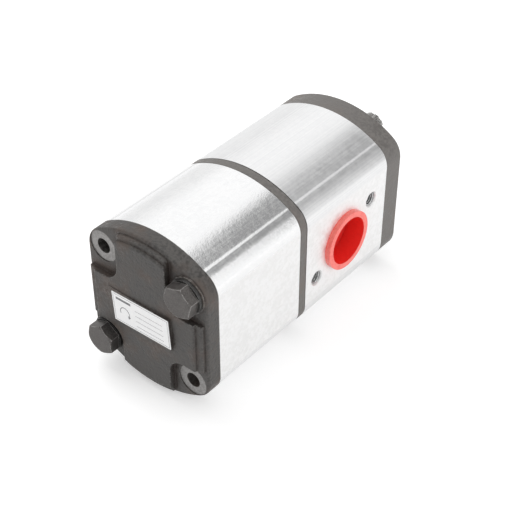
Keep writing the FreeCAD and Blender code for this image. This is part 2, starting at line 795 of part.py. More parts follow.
def shaft_coupling():
    """A sleeve with inside teeth that fit the gaps of both drive gears' stubs."""
    body = new_body("shaft_coupling", x="coupling_x")
    turned(body, "sleeve", "Revolution", [
        ("0", "stub_diameter / 2 + coupling_slack"),
        ("0", "coupling_diameter / 2"),
        ("coupling_length", "coupling_diameter / 2"),
        ("coupling_length", "stub_diameter / 2 + coupling_slack"),
    ])
    sketch = new_sketch(body, "tooth", "YZ_Plane", "coupling_length")
    crest, foot = "stub_gap_floor / 2 - coupling_slack", "stub_gap_mouth / 2 - coupling_slack"
    polygon(sketch, [
        (f"-({crest})", "stub_root / 2 + coupling_slack"),
        (crest, "stub_root / 2 + coupling_slack"),
        (foot, "stub_diameter / 2 + spline_gap_over"),
        (f"-({foot})", "stub_diameter / 2 + spline_gap_over"),
    ])
    polar(body, pad_back(body, sketch, "coupling_length"), "spline_teeth")


# Bearing blocks with their bushes and seals, two in each section.
def three_seal(name, x, thickness, slack, z="mid_height"):
    """A flat seal shaped like the figure three: two rings cut open on the pressure side."""
    rings = []
    for part, place in (("upper", "shaft_rise"), ("lower", "-shaft_rise")):
        rings.append(ring(f"{name}_{part}", f"axial_seal_outer + 2 * {slack}",
                          f"axial_seal_inner - 2 * {slack}", thickness, x, f"{z} + {place}"))
    opening = block_box(f"{name}_opening", (x, f"axial_seal_opening + {slack}", f"{z} - casing_height / 2"),
                        (thickness, "casing_width / 2", "casing_height"))
    return cut(name, fuse(f"{name}_rings", rings), opening)


def relief_pocket(name, x, side):
    """A shallow pocket that lets trapped oil out of the mesh on one side of it."""
    y = "relief_pocket_land / 2" if side > 0 else "-relief_pocket_land / 2 - relief_pocket_reach"
    return block_box(name, (x, y, "mid_height - relief_pocket_height / 2"),
                     ("relief_pocket_depth", "relief_pocket_reach", "relief_pocket_height"))


def bearing_block(node, low_x, outer_is_front):
    """A block with both journal bores, a seal groove outside and relief pockets at the gears."""
    rounds, bores = [], []
    for part, z in (("drive", "0"), ("driven", "-centre_distance")):
        rounds.append(cylinder(f"{node}_{part}_round", "block_diameter", "block_length", low_x, z))
        bores.append(cylinder(f"{node}_{part}_bore", "bush_diameter", "block_length", low_x, z))
    groove_x = f"{low_x} + block_length - axial_seal_depth" if outer_is_front else low_x
    gear_x = low_x if outer_is_front else f"{low_x} + block_length - relief_pocket_depth"
    groove = three_seal(f"{node}_groove", groove_x, "axial_seal_depth", "axial_seal_slack")
    pockets = [relief_pocket(f"{node}_relief_{name}", gear_x, side)
               for name, side in (("suction", -1), ("pressure", 1))]
    cut(node, fuse(f"{node}_solid", rounds), fuse(f"{node}_cuts", bores + [groove] + pockets))
    for part, z in (("drive", "0"), ("driven", "-centre_distance")):
        bush_x = low_x if outer_is_front else f"{low_x} + block_length - journal_length"
        ring(f"{node}_{part}_bush", "bush_diameter", "journal_diameter + 2 * journal_gap",
             "journal_length", bush_x, z)
    stack = "axial_seal_depth + block_float - backup_thickness"
    if outer_is_front:
        three_seal(f"{node}_backup", groove_x, "backup_thickness", "0")
        three_seal(f"{node}_seal", f"{groove_x} + backup_thickness", stack, "0")
    else:
        floor = f"{groove_x} + axial_seal_depth"
        three_seal(f"{node}_backup", f"{floor} - backup_thickness", "backup_thickness", "0")
        three_seal(f"{node}_seal", f"{groove_x} - block_float", stack, "0")


def bearing_blocks():
    for section in ("front", "rear"):
        fore_x = f"{section}_body_x - block_float - block_length"
        aft_x = f"{section}_gear_x - {section}_gear_width - gear_end_play - block_length"
        bearing_block(f"{section}_fore_block", fore_x, True)
        bearing_block(f"{section}_aft_block", aft_x, False)


# Seals, dowels, bolts and plugs.
def casing_seals():
    ends = {"front_cover_seal": "front_body_x", "plate_front_seal": "plate_x + body_seal_depth",
            "plate_rear_seal": "rear_body_x", "rear_cover_seal": "rear_cover_x + body_seal_depth"}
    for node, x in ends.items():
        body = new_body(node, x=x)
        sketch = section_sketch(body, "track")
        seal_track(sketch, "0")
        pad_back(body, sketch, "body_seal_depth")


def shaft_seal():
    """A lip seal: a stiff shell outside and a lip that runs round the shaft."""
    body = new_body("shaft_seal", x="seal_shelf_x")
    shaft = "journal_diameter / 2 + seal_lip_gap"
    turned(body, "section", "Revolution", [
        ("0", "seal_bore / 2"),
        ("seal_width", "seal_bore / 2"),
        ("seal_width", f"{shaft} + seal_mouth"),
        ("seal_width - seal_wall", f"{shaft} + seal_mouth"),
        ("seal_width - seal_wall", "seal_bore / 2 - seal_wall"),
        ("seal_lip_base", "seal_bore / 2 - seal_wall"),
        ("seal_lip_base", f"{shaft} + seal_lip_thickness"),
        ("seal_lip_place + seal_lip_land", shaft),
        ("seal_lip_place", shaft),
        ("0", f"{shaft} + seal_lip_lead"),
    ])


def seal_circlip():
    """A sprung ring with a gap between two eyed lugs."""
    name = "seal_circlip"
    band = ring(f"{name}_band", "seal_bore + 2 * circlip_bite",
                "seal_bore + 2 * circlip_bite - 2 * circlip_band", "circlip_thickness", "circlip_x")
    reach = "(seal_bore / 2 + circlip_bite - circlip_lug / 2 - circlip_lug_inset)"
    lugs, eyes = [], []
    for part, way in (("left", "+"), ("right", "-")):
        y = f"{way}(circlip_gap / 2 + circlip_lug / 2)"
        z = f"-sqrt({reach}^2 - (circlip_gap / 2 + circlip_lug / 2)^2)"
        lugs.append(cylinder(f"{name}_{part}_lug", "circlip_lug", "circlip_thickness", "circlip_x", z, y))
        eyes.append(cylinder(f"{name}_{part}_eye", "circlip_eye", "circlip_thickness", "circlip_x", z, y))
    gap = block_box(f"{name}_gap", ("circlip_x", "-circlip_gap / 2", "-seal_bore"),
                    ("circlip_thickness", "circlip_gap", "seal_bore"))
    cut(name, fuse(f"{name}_solid", [band] + lugs), fuse(f"{name}_cuts", eyes + [gap]))


def pilot_o_ring():
    """The pilot's ring as squeezed in its groove, flat where it bears."""
    body = new_body("pilot_o_ring")
    middle_x, middle_r = "ring_groove_start + ring_groove_width / 2", "ring_floor + ring_section / 2"
    sides = 8
    half_turn = 180 / sides
    corner_r = f"ring_section / 2 / cos({half_turn})"
    points = []
    for corner in range(sides):
        turn = half_turn * (2 * corner + 1)
        points.append((f"{middle_x} + {corner_r} * cos({turn})", f"{middle_r} + {corner_r} * sin({turn})"))
    turned(body, "section", "Revolution", points)


def dowels():
    """Dowels locate each joint. Those at the plate run through it into both housings."""
    joints = {"front_dowel": ("front_body_x - dowel_depth", "2 * dowel_depth"),
              "plate_dowel": ("rear_body_x - dowel_depth", "2 * dowel_depth + plate_thickness"),
              "rear_dowel": ("rear_cover_x - dowel_depth", "2 * dowel_depth")}
    for joint, (x, length) in joints.items():
        for side, y in DOWEL_SIDES.items():
            cylinder(f"{joint}_{side}", "dowel_diameter", length, x, "mid_height", y)


def clamp_bolts():
    """Hexagon bolts that hold the stack together, each on a washer at the rear cover."""
    for corner, (y, z) in CLAMP_CORNERS.items():
        height = f"mid_height + {z}"
        body = new_body(f"clamp_bolt_{corner}", "head_seat_x", y, height)
        sketch = new_sketch(body, "hexagon")
        points = []
        for side in range(6):
            angle = f"({corner}_bolt_turn + {60 * side})"
            radius = "bolt_flats / 2 / cos(30)"
            points.append((f"{radius} * cos{angle}", f"{radius} * sin{angle}"))
        polygon(sketch, points)
        pad_back(body, sketch, "bolt_head_height")
        chamfer_reach = "(bolt_flats - bolt_face_diameter / 2) * tan(bolt_chamfer_angle)"
        turned(body, "head_chamfer", "Groove", [
            ("-bolt_head_height", "bolt_face_diameter / 2"),
            ("-bolt_head_height", "bolt_flats"),
            (f"{chamfer_reach} - bolt_head_height", "bolt_flats"),
        ])
        turned(body, "shank", "Revolution", [
            ("-bolt_head_height / 2", "0"),
            ("-bolt_head_height / 2", "clamp_bolt / 2"),
            ("bolt_length - bolt_tip_chamfer", "clamp_bolt / 2"),
            ("bolt_length", "clamp_bolt / 2 - bolt_tip_chamfer"),
            ("bolt_length", "0"),
        ])
        ring(f"washer_{corner}", "washer_diameter", "clamp_hole", "washer_thickness",
             "head_seat_x", height, y)


def plug(node, kind, x, y, turn):
    """A plastic cup that closes a port: a flange outside and a tapered shank in the mouth."""
    body = new_body(node, x, y, "mid_height", turn)
    shank = f"{kind}_mouth / 2 - plug_slack"
    turned(body, "cup", "Revolution", [
        ("-plug_depth", "0"),
        ("-plug_depth", f"{shank} - plug_taper"),
        ("0", shank),
        ("0", f"{kind}_flange / 2"),
        ("plug_flange_thickness", f"{kind}_flange / 2"),
        ("plug_flange_thickness", f"{shank} - plug_wall"),
        ("plug_floor - plug_depth", f"{shank} - plug_wall - plug_taper"),
        ("plug_floor - plug_depth", "0"),
    ])


def plugs():
    front_middle = "front_body_x - front_body_length / 2"
    plug("suction_plug", "suction", f"{front_middle} - suction_shift", "-half_width", -90)
    plug("front_pressure_plug", "pressure", front_middle, "half_width", 90)
    plug("rear_pressure_plug", "pressure", "rear_body_x - rear_body_length / 2", "half_width", 90)


front_cover()
front_body()
intermediate_plate()
rear_body()
rear_cover()
front_drive_gear()
driven_gear("front_driven_gear", "front_gear_x", "front_gear_width")
rear_drive_gear()
driven_gear("rear_driven_gear", "rear_gear_x", "rear_gear_width")
shaft_coupling()
bearing_blocks()
casing_seals()
shaft_seal()
seal_circlip()
pilot_o_ring()
dowels()
clamp_bolts()
plugs()
doc.recompute()


# Check every object, then write each finished piece that no other object uses.
def check_object(thing):
    if "Invalid" in thing.State or "Error" in thing.State:
        raise RuntimeError(f"{thing.Name} did not compute: {thing.State}")
    cuts = thing.isDerivedFrom("PartDesign::Pocket") or thing.isDerivedFrom("PartDesign::Groove")
    if cuts and thing.Shape.Volume > thing.BaseFeature.Shape.Volume - 1e-6:
        raise RuntimeError(f"{thing.Name} cuts nothing")


def is_node(thing):
    if thing.isDerivedFrom("PartDesign::Body"):
        return True
    in_body = thing.getParentGeoFeatureGroup() is not None
    used = [user for user in thing.InList if user.isDerivedFrom("Part::Feature")]
    return thing.isDerivedFrom("Part::Feature") and not in_body and not used


for thing in doc.Objects:
    check_object(thing)
os.makedirs("parts", exist_ok=True)
for node in filter(is_node, doc.Objects):
    if node.Shape.isNull() or not node.Shape.isValid():
        raise RuntimeError(f"{node.Label} has no valid shape")
    node.Shape.exportStep(f"parts/{node.Label}.step")
    print(node.Label, len(node.Shape.Solids), round(node.Shape.Volume, 1))
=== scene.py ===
# %% [markdown]
# # A tandem gear pump, dressed for its portrait
# The real pump is a stack: a dark iron cover, two bright aluminium housings with an iron plate
# between them, and a second iron cover, held together by long bolts. The solids come ready made
# from the CAD frame, so they are never moved or reshaped here. What is left to do is what CAD is
# poor at: smooth shading, surface finish, threads, the label, and light.

import math

import bmesh
import bpy
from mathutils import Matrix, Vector


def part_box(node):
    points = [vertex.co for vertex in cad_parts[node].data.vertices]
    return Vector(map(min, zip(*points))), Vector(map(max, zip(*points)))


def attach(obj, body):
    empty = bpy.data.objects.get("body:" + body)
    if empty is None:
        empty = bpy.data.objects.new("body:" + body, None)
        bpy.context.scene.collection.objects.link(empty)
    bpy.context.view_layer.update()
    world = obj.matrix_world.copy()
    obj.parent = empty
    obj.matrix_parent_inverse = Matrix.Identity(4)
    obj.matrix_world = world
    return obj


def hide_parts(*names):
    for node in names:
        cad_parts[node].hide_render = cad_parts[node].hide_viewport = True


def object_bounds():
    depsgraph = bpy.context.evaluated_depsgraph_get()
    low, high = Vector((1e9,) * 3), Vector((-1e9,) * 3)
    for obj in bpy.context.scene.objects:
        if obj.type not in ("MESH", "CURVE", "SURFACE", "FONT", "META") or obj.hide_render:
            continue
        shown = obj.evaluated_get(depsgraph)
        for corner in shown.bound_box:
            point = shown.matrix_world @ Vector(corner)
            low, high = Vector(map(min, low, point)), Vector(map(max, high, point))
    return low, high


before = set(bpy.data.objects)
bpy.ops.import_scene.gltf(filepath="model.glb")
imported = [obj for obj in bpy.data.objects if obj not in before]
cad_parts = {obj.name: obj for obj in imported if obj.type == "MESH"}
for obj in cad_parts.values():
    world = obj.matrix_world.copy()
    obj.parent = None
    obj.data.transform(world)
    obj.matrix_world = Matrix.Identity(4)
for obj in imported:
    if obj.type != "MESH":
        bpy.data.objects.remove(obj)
cad_low, cad_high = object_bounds()
MM = 0.001
size_mm = (cad_high - cad_low) / MM
print(f"{len(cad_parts)} nodes, {size_mm.x:.1f} x {size_mm.y:.1f} x {size_mm.z:.1f} mm")

# %% [markdown]
# ## The camera
# The photograph was taken from behind and above with a long lens. Its place and its focal length
# were worked out from the pump's own straight edges, so the lens is given in picture widths and
# turned into millimetres here. A camera that is only pointed by eye never lines up this well.

# %% Place the camera
PICTURE_SIDE = 510
FOCAL_IN_PIXELS = 1226.6
CAMERA_PLACE = Vector((-0.5023, -0.3478, 0.4126))
CAMERA_LOOK = Vector((0.5973, 0.4938, -0.6319))

scene = bpy.context.scene
scene.view_settings.view_transform = "Standard"
camera_data = bpy.data.cameras.new("photo_camera")
camera_data.sensor_width = 36
camera_data.lens = FOCAL_IN_PIXELS / PICTURE_SIDE * camera_data.sensor_width
camera = bpy.data.objects.new("photo_camera", camera_data)
camera.location = CAMERA_PLACE
camera.rotation_euler = CAMERA_LOOK.to_track_quat("-Z", "Y").to_euler()
scene.collection.objects.link(camera)
scene.camera = camera
print(f"lens {camera_data.lens:.1f} mm")

# %% [markdown]
# ## Small helpers for node trees
# Every material below is a tree of nodes. A few helpers keep that short: one adds a node and fills
# its inputs, with a number or with another node's output, and the next ones do sums, smooth ramps
# and blends of two colours. The last makes an empty group with named sockets, for effects that
# several materials share.


# %% Helpers for nodes
FLOAT = "NodeSocketFloat"
VECTOR = "NodeSocketVector"
GEOMETRY = "NodeSocketGeometry"


def fill(tree, socket, value):
    """Link another node's output to a socket, or set its value. A colour may leave out its alpha."""
    if isinstance(value, bpy.types.NodeSocket):
        tree.links.new(value, socket)
    elif socket.type == "RGBA" and len(value) == 3:
        socket.default_value = (*value, 1)
    else:
        socket.default_value = value


def add_node(tree, kind, settings=None, inputs=None):
    """Add a node with these settings, and fill its inputs, which go by their name or number."""
    made = tree.nodes.new(kind)
    for name, value in (settings or {}).items():
        setattr(made, name, value)
    for name, value in (inputs or {}).items():
        fill(tree, made.inputs[name], value)
    return made


def calc(tree, operation, *values):
    inputs = dict(enumerate(values))
    return add_node(tree, "ShaderNodeMath", {"operation": operation}, inputs).outputs[0]


def vector_calc(tree, operation, *values):
    """Sums with vectors. A dot product and a length come out as a plain number."""
    inputs = dict(enumerate(values))
    made = add_node(tree, "ShaderNodeVectorMath", {"operation": operation}, inputs)
    return made.outputs["Value" if operation in ("DOT_PRODUCT", "LENGTH") else "Vector"]


def remap(tree, value, low, high, to_low=0.0, to_high=1.0):
    made = add_node(tree, "ShaderNodeMapRange", {"interpolation_type": "SMOOTHSTEP"}, {
        "Value": value, "From Min": low, "From Max": high, "To Min": to_low, "To Max": to_high})
    return made.outputs["Result"]


def blend_colours(tree, share, first, second):
    """The first colour where the share is 0, and the second where it is 1."""
    inputs = {0: share, 6: first, 7: second}
    return add_node(tree, "ShaderNodeMix", {"data_type": "RGBA"}, inputs).outputs[2]


def new_group(name, inputs, outputs, kind="ShaderNodeTree"):
    """An empty group and its two end nodes, for what it takes and for what it gives."""
    group = bpy.data.node_groups.new(name, kind)
    for label, kind in inputs.items():
        group.interface.new_socket(label, in_out="INPUT", socket_type=kind)
    for label, kind in outputs.items():
        group.interface.new_socket(label, in_out="OUTPUT", socket_type=kind)
    return group, group.nodes.new("NodeGroupInput"), group.nodes.new("NodeGroupOutput")


print("helpers: fill, add_node, calc, vector_calc, remap, blend_colours, new_group")

# %% [markdown]
# ## White room
# The photograph has a pure white ground with a faint soft shadow. A white dome of light does most
# of the work. Polished metal needs something dark to mirror or it looks like paper, so the dome
# has grey patches, where a studio has gaps between its lamps. Those high on the right were fitted
# to the bands on the housings in the photograph. The others serve other views.

# %% Dome with its grey patches
DOME_LIGHT = 0.78
PATCHES = {
    "between the lamps": {"way": (0.758, -0.225, 0.612), "edge": 23.2, "core": 16.8, "dark": 0.70},
    "beyond the front": {"way": (0.939, -0.272, 0.211), "edge": 31, "core": 29.5, "dark": 0.69},
    "far left": {"way": (0.597, 0.80, 0.03), "edge": 26, "core": 6, "dark": 0.16},
    "behind, left": {"way": (-0.62, 0.42, 0.66), "edge": 30, "core": 16, "dark": 0.62},
    "behind, right": {"way": (-0.66, -0.34, 0.67), "edge": 26, "core": 15, "dark": 0.62},
    "low, left": {"way": (-0.15, 0.93, 0.33), "edge": 30, "core": 12, "dark": 0.45},
    "low, behind": {"way": (-0.75, -0.63, 0.20), "edge": 30, "core": 12, "dark": 0.45},
}

world = bpy.data.worlds.new("white_room")
scene.world = world
world.use_nodes = True
sky = world.node_tree
sky.nodes.clear()
way = add_node(sky, "ShaderNodeTexCoord").outputs["Generated"]


def patch(spot):
    """How dark the dome is round one direction, from its edge to its core in degrees."""
    towards = vector_calc(sky, "DOT_PRODUCT", way, Vector(spot["way"]).normalized())
    edge, core = (math.cos(math.radians(spot[name])) for name in ("edge", "core"))
    return remap(sky, towards, edge, core, 0.0, spot["dark"])


shade = 0.0
for spot in PATCHES.values():
    shade = calc(sky, "MAXIMUM", shade, patch(spot))
ray = add_node(sky, "ShaderNodeLightPath")
mirrored = calc(sky, "SUBTRACT", 1.0, calc(sky, "MULTIPLY", shade, ray.outputs["Is Glossy Ray"]))
lit = calc(sky, "MULTIPLY", ray.outputs["Is Diffuse Ray"], 1 - DOME_LIGHT)
strength = calc(sky, "SUBTRACT", mirrored, lit)
dome = add_node(sky, "ShaderNodeBackground", None, {"Color": (1, 1, 1), "Strength": strength})
add_node(sky, "ShaderNodeOutputWorld", None, {"Surface": dome.outputs[0]})
print("dome strength", DOME_LIGHT, "for soft light and 1 for the camera")

# %% [markdown]
# One large soft lamp from high up behind gives the pump its direction: the shadow then falls
# towards the camera, as in the photograph. A second, weaker one near the floor on the right keeps
# the port side bright.

# %% Lamps
PUMP_MIDDLE = (cad_low + cad_high) / 2


def soft_lamp(name, offset, side, power):
    """A square lamp that lights the pump, and that neither the camera nor the metal sees."""
    data = bpy.data.lights.new(name, "AREA")
    data.shape = "SQUARE"
    data.size = side
    data.energy = power
    lamp = bpy.data.objects.new(name, data)
    lamp.location = PUMP_MIDDLE + Vector(offset)
    lamp.rotation_euler = (PUMP_MIDDLE - lamp.location).to_track_quat("-Z", "Y").to_euler()
    lamp.visible_camera = False
    lamp.visible_glossy = False
    scene.collection.objects.link(lamp)


soft_lamp("key_lamp", offset=(0.15, 0.75, 1.1), side=0.9, power=6.0)
soft_lamp("side_lamp", offset=(0.4, -1.2, 0.15), side=0.8, power=5.5)
print("lamps:", ", ".join(light.name for light in bpy.data.lights))

# %% [markdown]
# The floor has a little glow that only the camera sees, so it turns pure white without any more
# light on the pump, and the soft shadow stays on it. The polished housings mirror the shaded floor
# beneath them, which would make their lower corners darker than in the photograph. So the rays
# that metal mirrors see the floor with a share of plain, even white mixed in.

# %% Floor
FLOOR_SIDE = 3.0
FLOOR_WHITE = 0.85
CAMERA_GLOW = 0.36
MIRRORED_WHITE = 1.1
MIRRORED_SHARE = 0.4


def white_floor():
    mesh = bpy.data.meshes.new("floor")
    form = bmesh.new()
    bmesh.ops.create_grid(form, x_segments=1, y_segments=1, size=FLOOR_SIDE / 2)
    bmesh.ops.translate(form, verts=form.verts, vec=(PUMP_MIDDLE.x, PUMP_MIDDLE.y, cad_low.z))
    form.to_mesh(mesh)
    form.free()
    floor = bpy.data.objects.new("floor", mesh)
    scene.collection.objects.link(floor)
    finish = bpy.data.materials.new("white_floor")
    finish.use_nodes = True
    tree = finish.node_tree
    tree.nodes.clear()
    path = add_node(tree, "ShaderNodeLightPath")
    seen = calc(tree, "MULTIPLY", path.outputs["Is Camera Ray"], CAMERA_GLOW)
    paper = add_node(tree, "ShaderNodeBsdfDiffuse", None, {"Color": (FLOOR_WHITE,) * 3})
    glow = add_node(tree, "ShaderNodeEmission", None, {"Strength": seen})
    both = add_node(tree, "ShaderNodeAddShader", None, {0: paper.outputs[0], 1: glow.outputs[0]})
    plain = add_node(tree, "ShaderNodeEmission", None, {"Strength": MIRRORED_WHITE})
    share = calc(tree, "MULTIPLY", path.outputs["Is Glossy Ray"], MIRRORED_SHARE)
    choice = add_node(tree, "ShaderNodeMixShader", None, {
        "Fac": share, 1: both.outputs[0], 2: plain.outputs[0]})
    add_node(tree, "ShaderNodeOutputMaterial", None, {"Surface": choice.outputs[0]})
    mesh.materials.append(finish)


white_floor()
print("floor at", round(cad_low.z / MM, 1), "mm")

# %% [markdown]
# ## Shared surface effects
# Edges are lighter on every dark metal piece here, partly from wear and partly as a painted
# highlight where a rounded edge would catch the light. The group compares the surface's own
# direction with one that is rounded off across a small radius: they differ only near an edge, so the
# difference is a mask that needs no painted texture and no extra vertices.


# %% Edge mask
def build_edge_wear_and_highlight():
    group, taken, given = new_group(
        "edge_wear_and_highlight", {"Radius": FLOAT, "Strength": FLOAT}, {"Mask": FLOAT})
    rounded = add_node(group, "ShaderNodeBevel", {"samples": 6}, {"Radius": taken.outputs["Radius"]})
    surface = add_node(group, "ShaderNodeNewGeometry")
    same = vector_calc(group, "DOT_PRODUCT", rounded.outputs["Normal"], surface.outputs["Normal"])
    turned = calc(group, "SUBTRACT", 1.0, same)
    mask = calc(group, "MULTIPLY", turned, taken.outputs["Strength"])
    fill(group, given.inputs["Mask"], calc(group, "MINIMUM", mask, 1.0))
    return group


EDGE_WEAR_AND_HIGHLIGHT = build_edge_wear_and_highlight()
print("group:", EDGE_WEAR_AND_HIGHLIGHT.name)

# %% [markdown]
# Corners, round bosses and the space under edges are darkened, partly by grime that settles where a
# cloth never reaches and partly as painted shade where little light gets in. Ambient occlusion
# measures just that: how much of the space in front of a point is closed off.


# %% Grime in the corners
def build_grime_and_shade():
    group, taken, given = new_group("grime_and_shade", {"Reach": FLOAT, "Strength": FLOAT}, {"Mask": FLOAT})
    closed = add_node(group, "ShaderNodeAmbientOcclusion", {"samples": 8, "only_local": True},
                      {"Distance": taken.outputs["Reach"]})
    hidden = calc(group, "SUBTRACT", 1.0, closed.outputs["AO"])
    mask = calc(group, "MULTIPLY", hidden, taken.outputs["Strength"])
    fill(group, given.inputs["Mask"], calc(group, "MINIMUM", mask, 1.0))
    return group


GRIME_AND_SHADE = build_grime_and_shade()
print("group:", GRIME_AND_SHADE.name)

# %% [markdown]
# Castings keep the grain of the sand they were poured in: pebbling of two sizes, with broader
# uneven patches of colour over it. Noise at several scales gives them. Noise is grey for the most
# part and seldom near black or white, so each mask is a steep ramp through its middle values.


# %% Cast grain
def build_cast_grain():
    group, taken, given = new_group(
        "cast_grain", {"Grain": FLOAT, "Patches": FLOAT},
        {"Height": FLOAT, "Tone": FLOAT, "Speck": FLOAT, "Stain": FLOAT})
    place = add_node(group, "ShaderNodeTexCoord").outputs["Object"]

    def noise(scale, detail, roughness):
        return add_node(group, "ShaderNodeTexNoise", None, {
            "Vector": place, "Scale": scale, "Detail": detail, "Roughness": roughness}).outputs[0]

    def mixed(fine_share, pebble_share):
        some_pebbles = calc(group, "MULTIPLY", pebbles, pebble_share)
        return calc(group, "MULTIPLY_ADD", fine, fine_share, some_pebbles)

    fine = noise(taken.outputs["Grain"], 3.0, 0.6)
    pebbles = noise(calc(group, "MULTIPLY", taken.outputs["Grain"], 0.35), 2.0, 0.5)
    broad = noise(taken.outputs["Patches"], 4.0, 0.6)
    stain = noise(calc(group, "MULTIPLY", taken.outputs["Patches"], 0.55), 3.0, 0.55)
    speckle = mixed(0.55, 0.25)
    tone = calc(group, "MULTIPLY_ADD", broad, 0.20, speckle)
    fill(group, given.inputs["Height"], mixed(0.5, 0.5))
    fill(group, given.inputs["Tone"], remap(group, tone, 0.42, 0.58))
    fill(group, given.inputs["Speck"], remap(group, speckle, 0.39, 0.44))
    fill(group, given.inputs["Stain"], remap(group, stain, 0.48, 0.68))
    return group


CAST_GRAIN = build_cast_grain()
print("group:", CAST_GRAIN.name)

# %% [markdown]
# The housings are cut from an extruded bar. The die scores fine lines that run dead straight along
# it, and leaves a slight step where the arch meets each round corner, which catches the light as
# one bright line. Both are the same at every place along the bar, so they depend on one number
# only, the angle round the housing's middle: noise of it gives the lines and a ramp the step.


# %% Die lines
plate_low, plate_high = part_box("intermediate_plate")
MID_HEIGHT = (plate_low.z + plate_high.z) / 2
STEP_START = math.radians(36.3)
STEP_END = math.radians(40.2)


def build_die_lines():
    group, taken, given = new_group(
        "die_lines", {"Fineness": FLOAT, "Step": FLOAT}, {"Height": FLOAT, "Tone": FLOAT})
    place = add_node(group, "ShaderNodeTexCoord").outputs["Object"]
    parts = add_node(group, "ShaderNodeSeparateXYZ", None, {"Vector": place})
    height = calc(group, "SUBTRACT", parts.outputs["Z"], MID_HEIGHT)
    angle = calc(group, "ARCTAN2", parts.outputs["Y"], height)
    fine = add_node(group, "ShaderNodeTexNoise", {"noise_dimensions": "1D"}, {
        "W": calc(group, "MULTIPLY", angle, taken.outputs["Fineness"]), "Scale": 1.0, "Detail": 3.0,
        "Roughness": 0.7})
    from_top = calc(group, "ARCTAN2", calc(group, "ABSOLUTE", parts.outputs["Y"]),
                    calc(group, "ABSOLUTE", height))
    over = add_node(group, "ShaderNodeMapRange", None, {
        "Value": from_top, "From Min": STEP_START, "From Max": STEP_END}).outputs["Result"]
    # The rise 4x^3 - 3x^4 is level at both ends and steepest at two thirds of the way
    cubed = calc(group, "POWER", over, 3.0)
    rise = calc(group, "MULTIPLY", cubed, calc(group, "MULTIPLY_ADD", over, -3.0, 4.0))
    step = calc(group, "MULTIPLY", rise, taken.outputs["Step"])
    fill(group, given.inputs["Height"], calc(group, "ADD", fine.outputs[0], step))
    fill(group, given.inputs["Tone"], remap(group, fine.outputs[0], 0.3, 0.7))
    return group


DIE_LINES = build_die_lines()
print("group:", DIE_LINES.name, "round a middle at", round(MID_HEIGHT / MM, 1), "mm")

# %% [markdown]
# Everything turned on a lathe has rings round its own axis. A wave of the distance from the axis
# gives them, roughened by noise so that it doesn't look printed.


# %% Turning marks
def build_turning_marks():
    group, taken, given = new_group(
        "turning_marks", {"Centre": VECTOR, "Rings": FLOAT}, {"Height": FLOAT})
    place = add_node(group, "ShaderNodeTexCoord").outputs["Object"]
    apart = vector_calc(group, "SUBTRACT", place, taken.outputs["Centre"])
    reach = vector_calc(group, "LENGTH", vector_calc(group, "MULTIPLY", apart, (0, 1, 1)))
    grit = add_node(group, "ShaderNodeTexNoise", None, {
        "Vector": place, "Scale": 400.0, "Detail": 2.0})
    turn = calc(group, "MULTIPLY", reach, taken.outputs["Rings"])
    wave = calc(group, "SINE", calc(group, "ADD", turn, grit.outputs[0]))
    fill(group, given.inputs["Height"], calc(group, "MULTIPLY_ADD", wave, 0.5, 0.5))
    return group


TURNING_MARKS = build_turning_marks()
print("group:", TURNING_MARKS.name)

# %% [markdown]
# ## Materials
# Each finish starts from one function that makes a material with a Principled shader, sets its
# constant values and keeps it by name. The patterns are then wired in. A metal's colour sits in
# Base Color, as any other's does, and Metallic makes the shader mirror in that colour.


# %% The common start of a material
FINISH = {}


def new_finish(name, colour, roughness, metallic=0.0, **extra):
    """Start a material and keep it in FINISH. Extra values name the shader's other inputs."""
    finish = bpy.data.materials.new(name)
    FINISH[name] = finish
    finish.use_nodes = True
    finish.diffuse_color = (*colour, 1)
    tree = finish.node_tree
    shader = tree.nodes["Principled BSDF"]
    shader.inputs["Base Color"].default_value = (*colour, 1)
    shader.inputs["Roughness"].default_value = roughness
    shader.inputs["Metallic"].default_value = metallic
    for label, value in extra.items():
        shader.inputs[label.replace("_", " ")].default_value = value
    return tree, shader


def use_group(tree, group, inputs):
    return add_node(tree, "ShaderNodeGroup", {"node_tree": group}, inputs)


def bump(tree, height, depth_mm, strength=1.0):
    return add_node(tree, "ShaderNodeBump", None, {
        "Height": height, "Distance": depth_mm * MM, "Strength": strength})


def raise_surface(tree, shader, height, depth_mm, strength=1.0, rounded_mm=None):
    """Bump from a height. A value for rounded_mm also makes hard edges look rounded off."""
    raised = bump(tree, height, depth_mm, strength)
    if rounded_mm:
        rounded = add_node(tree, "ShaderNodeBevel", {"samples": 6}, {"Radius": rounded_mm * MM})
        fill(tree, raised.inputs["Normal"], rounded.outputs["Normal"])
    fill(tree, shader.inputs["Normal"], raised.outputs["Normal"])


def tint(tree, shader, mask, dark, light):
    fill(tree, shader.inputs["Base Color"], blend_colours(tree, mask, dark, light))


def roughen(tree, shader, mask, low, high):
    fill(tree, shader.inputs["Roughness"], remap(tree, mask, 0.0, 1.0, low, high))


print("helpers: new_finish, use_group, bump, raise_surface, tint, roughen")

# %% [markdown]
# The two covers and the plate are grey iron with a dark phosphate skin: almost black-brown, with a
# dull sheen, and lighter on its edges, partly rubbed and partly a painted highlight. Its hollows are
# darkened to near black with grime and painted shade.


# %% Cast iron
IRON_DARK = Vector((0.060, 0.055, 0.052))
IRON_LIGHT = Vector((0.126, 0.118, 0.111))
IRON_RUST = Vector((0.125, 0.094, 0.078))
IRON_WEAR_AND_HIGHLIGHT = (0.36, 0.35, 0.33)
IRON_HOLLOW_SHADE = (0.034, 0.023, 0.018)


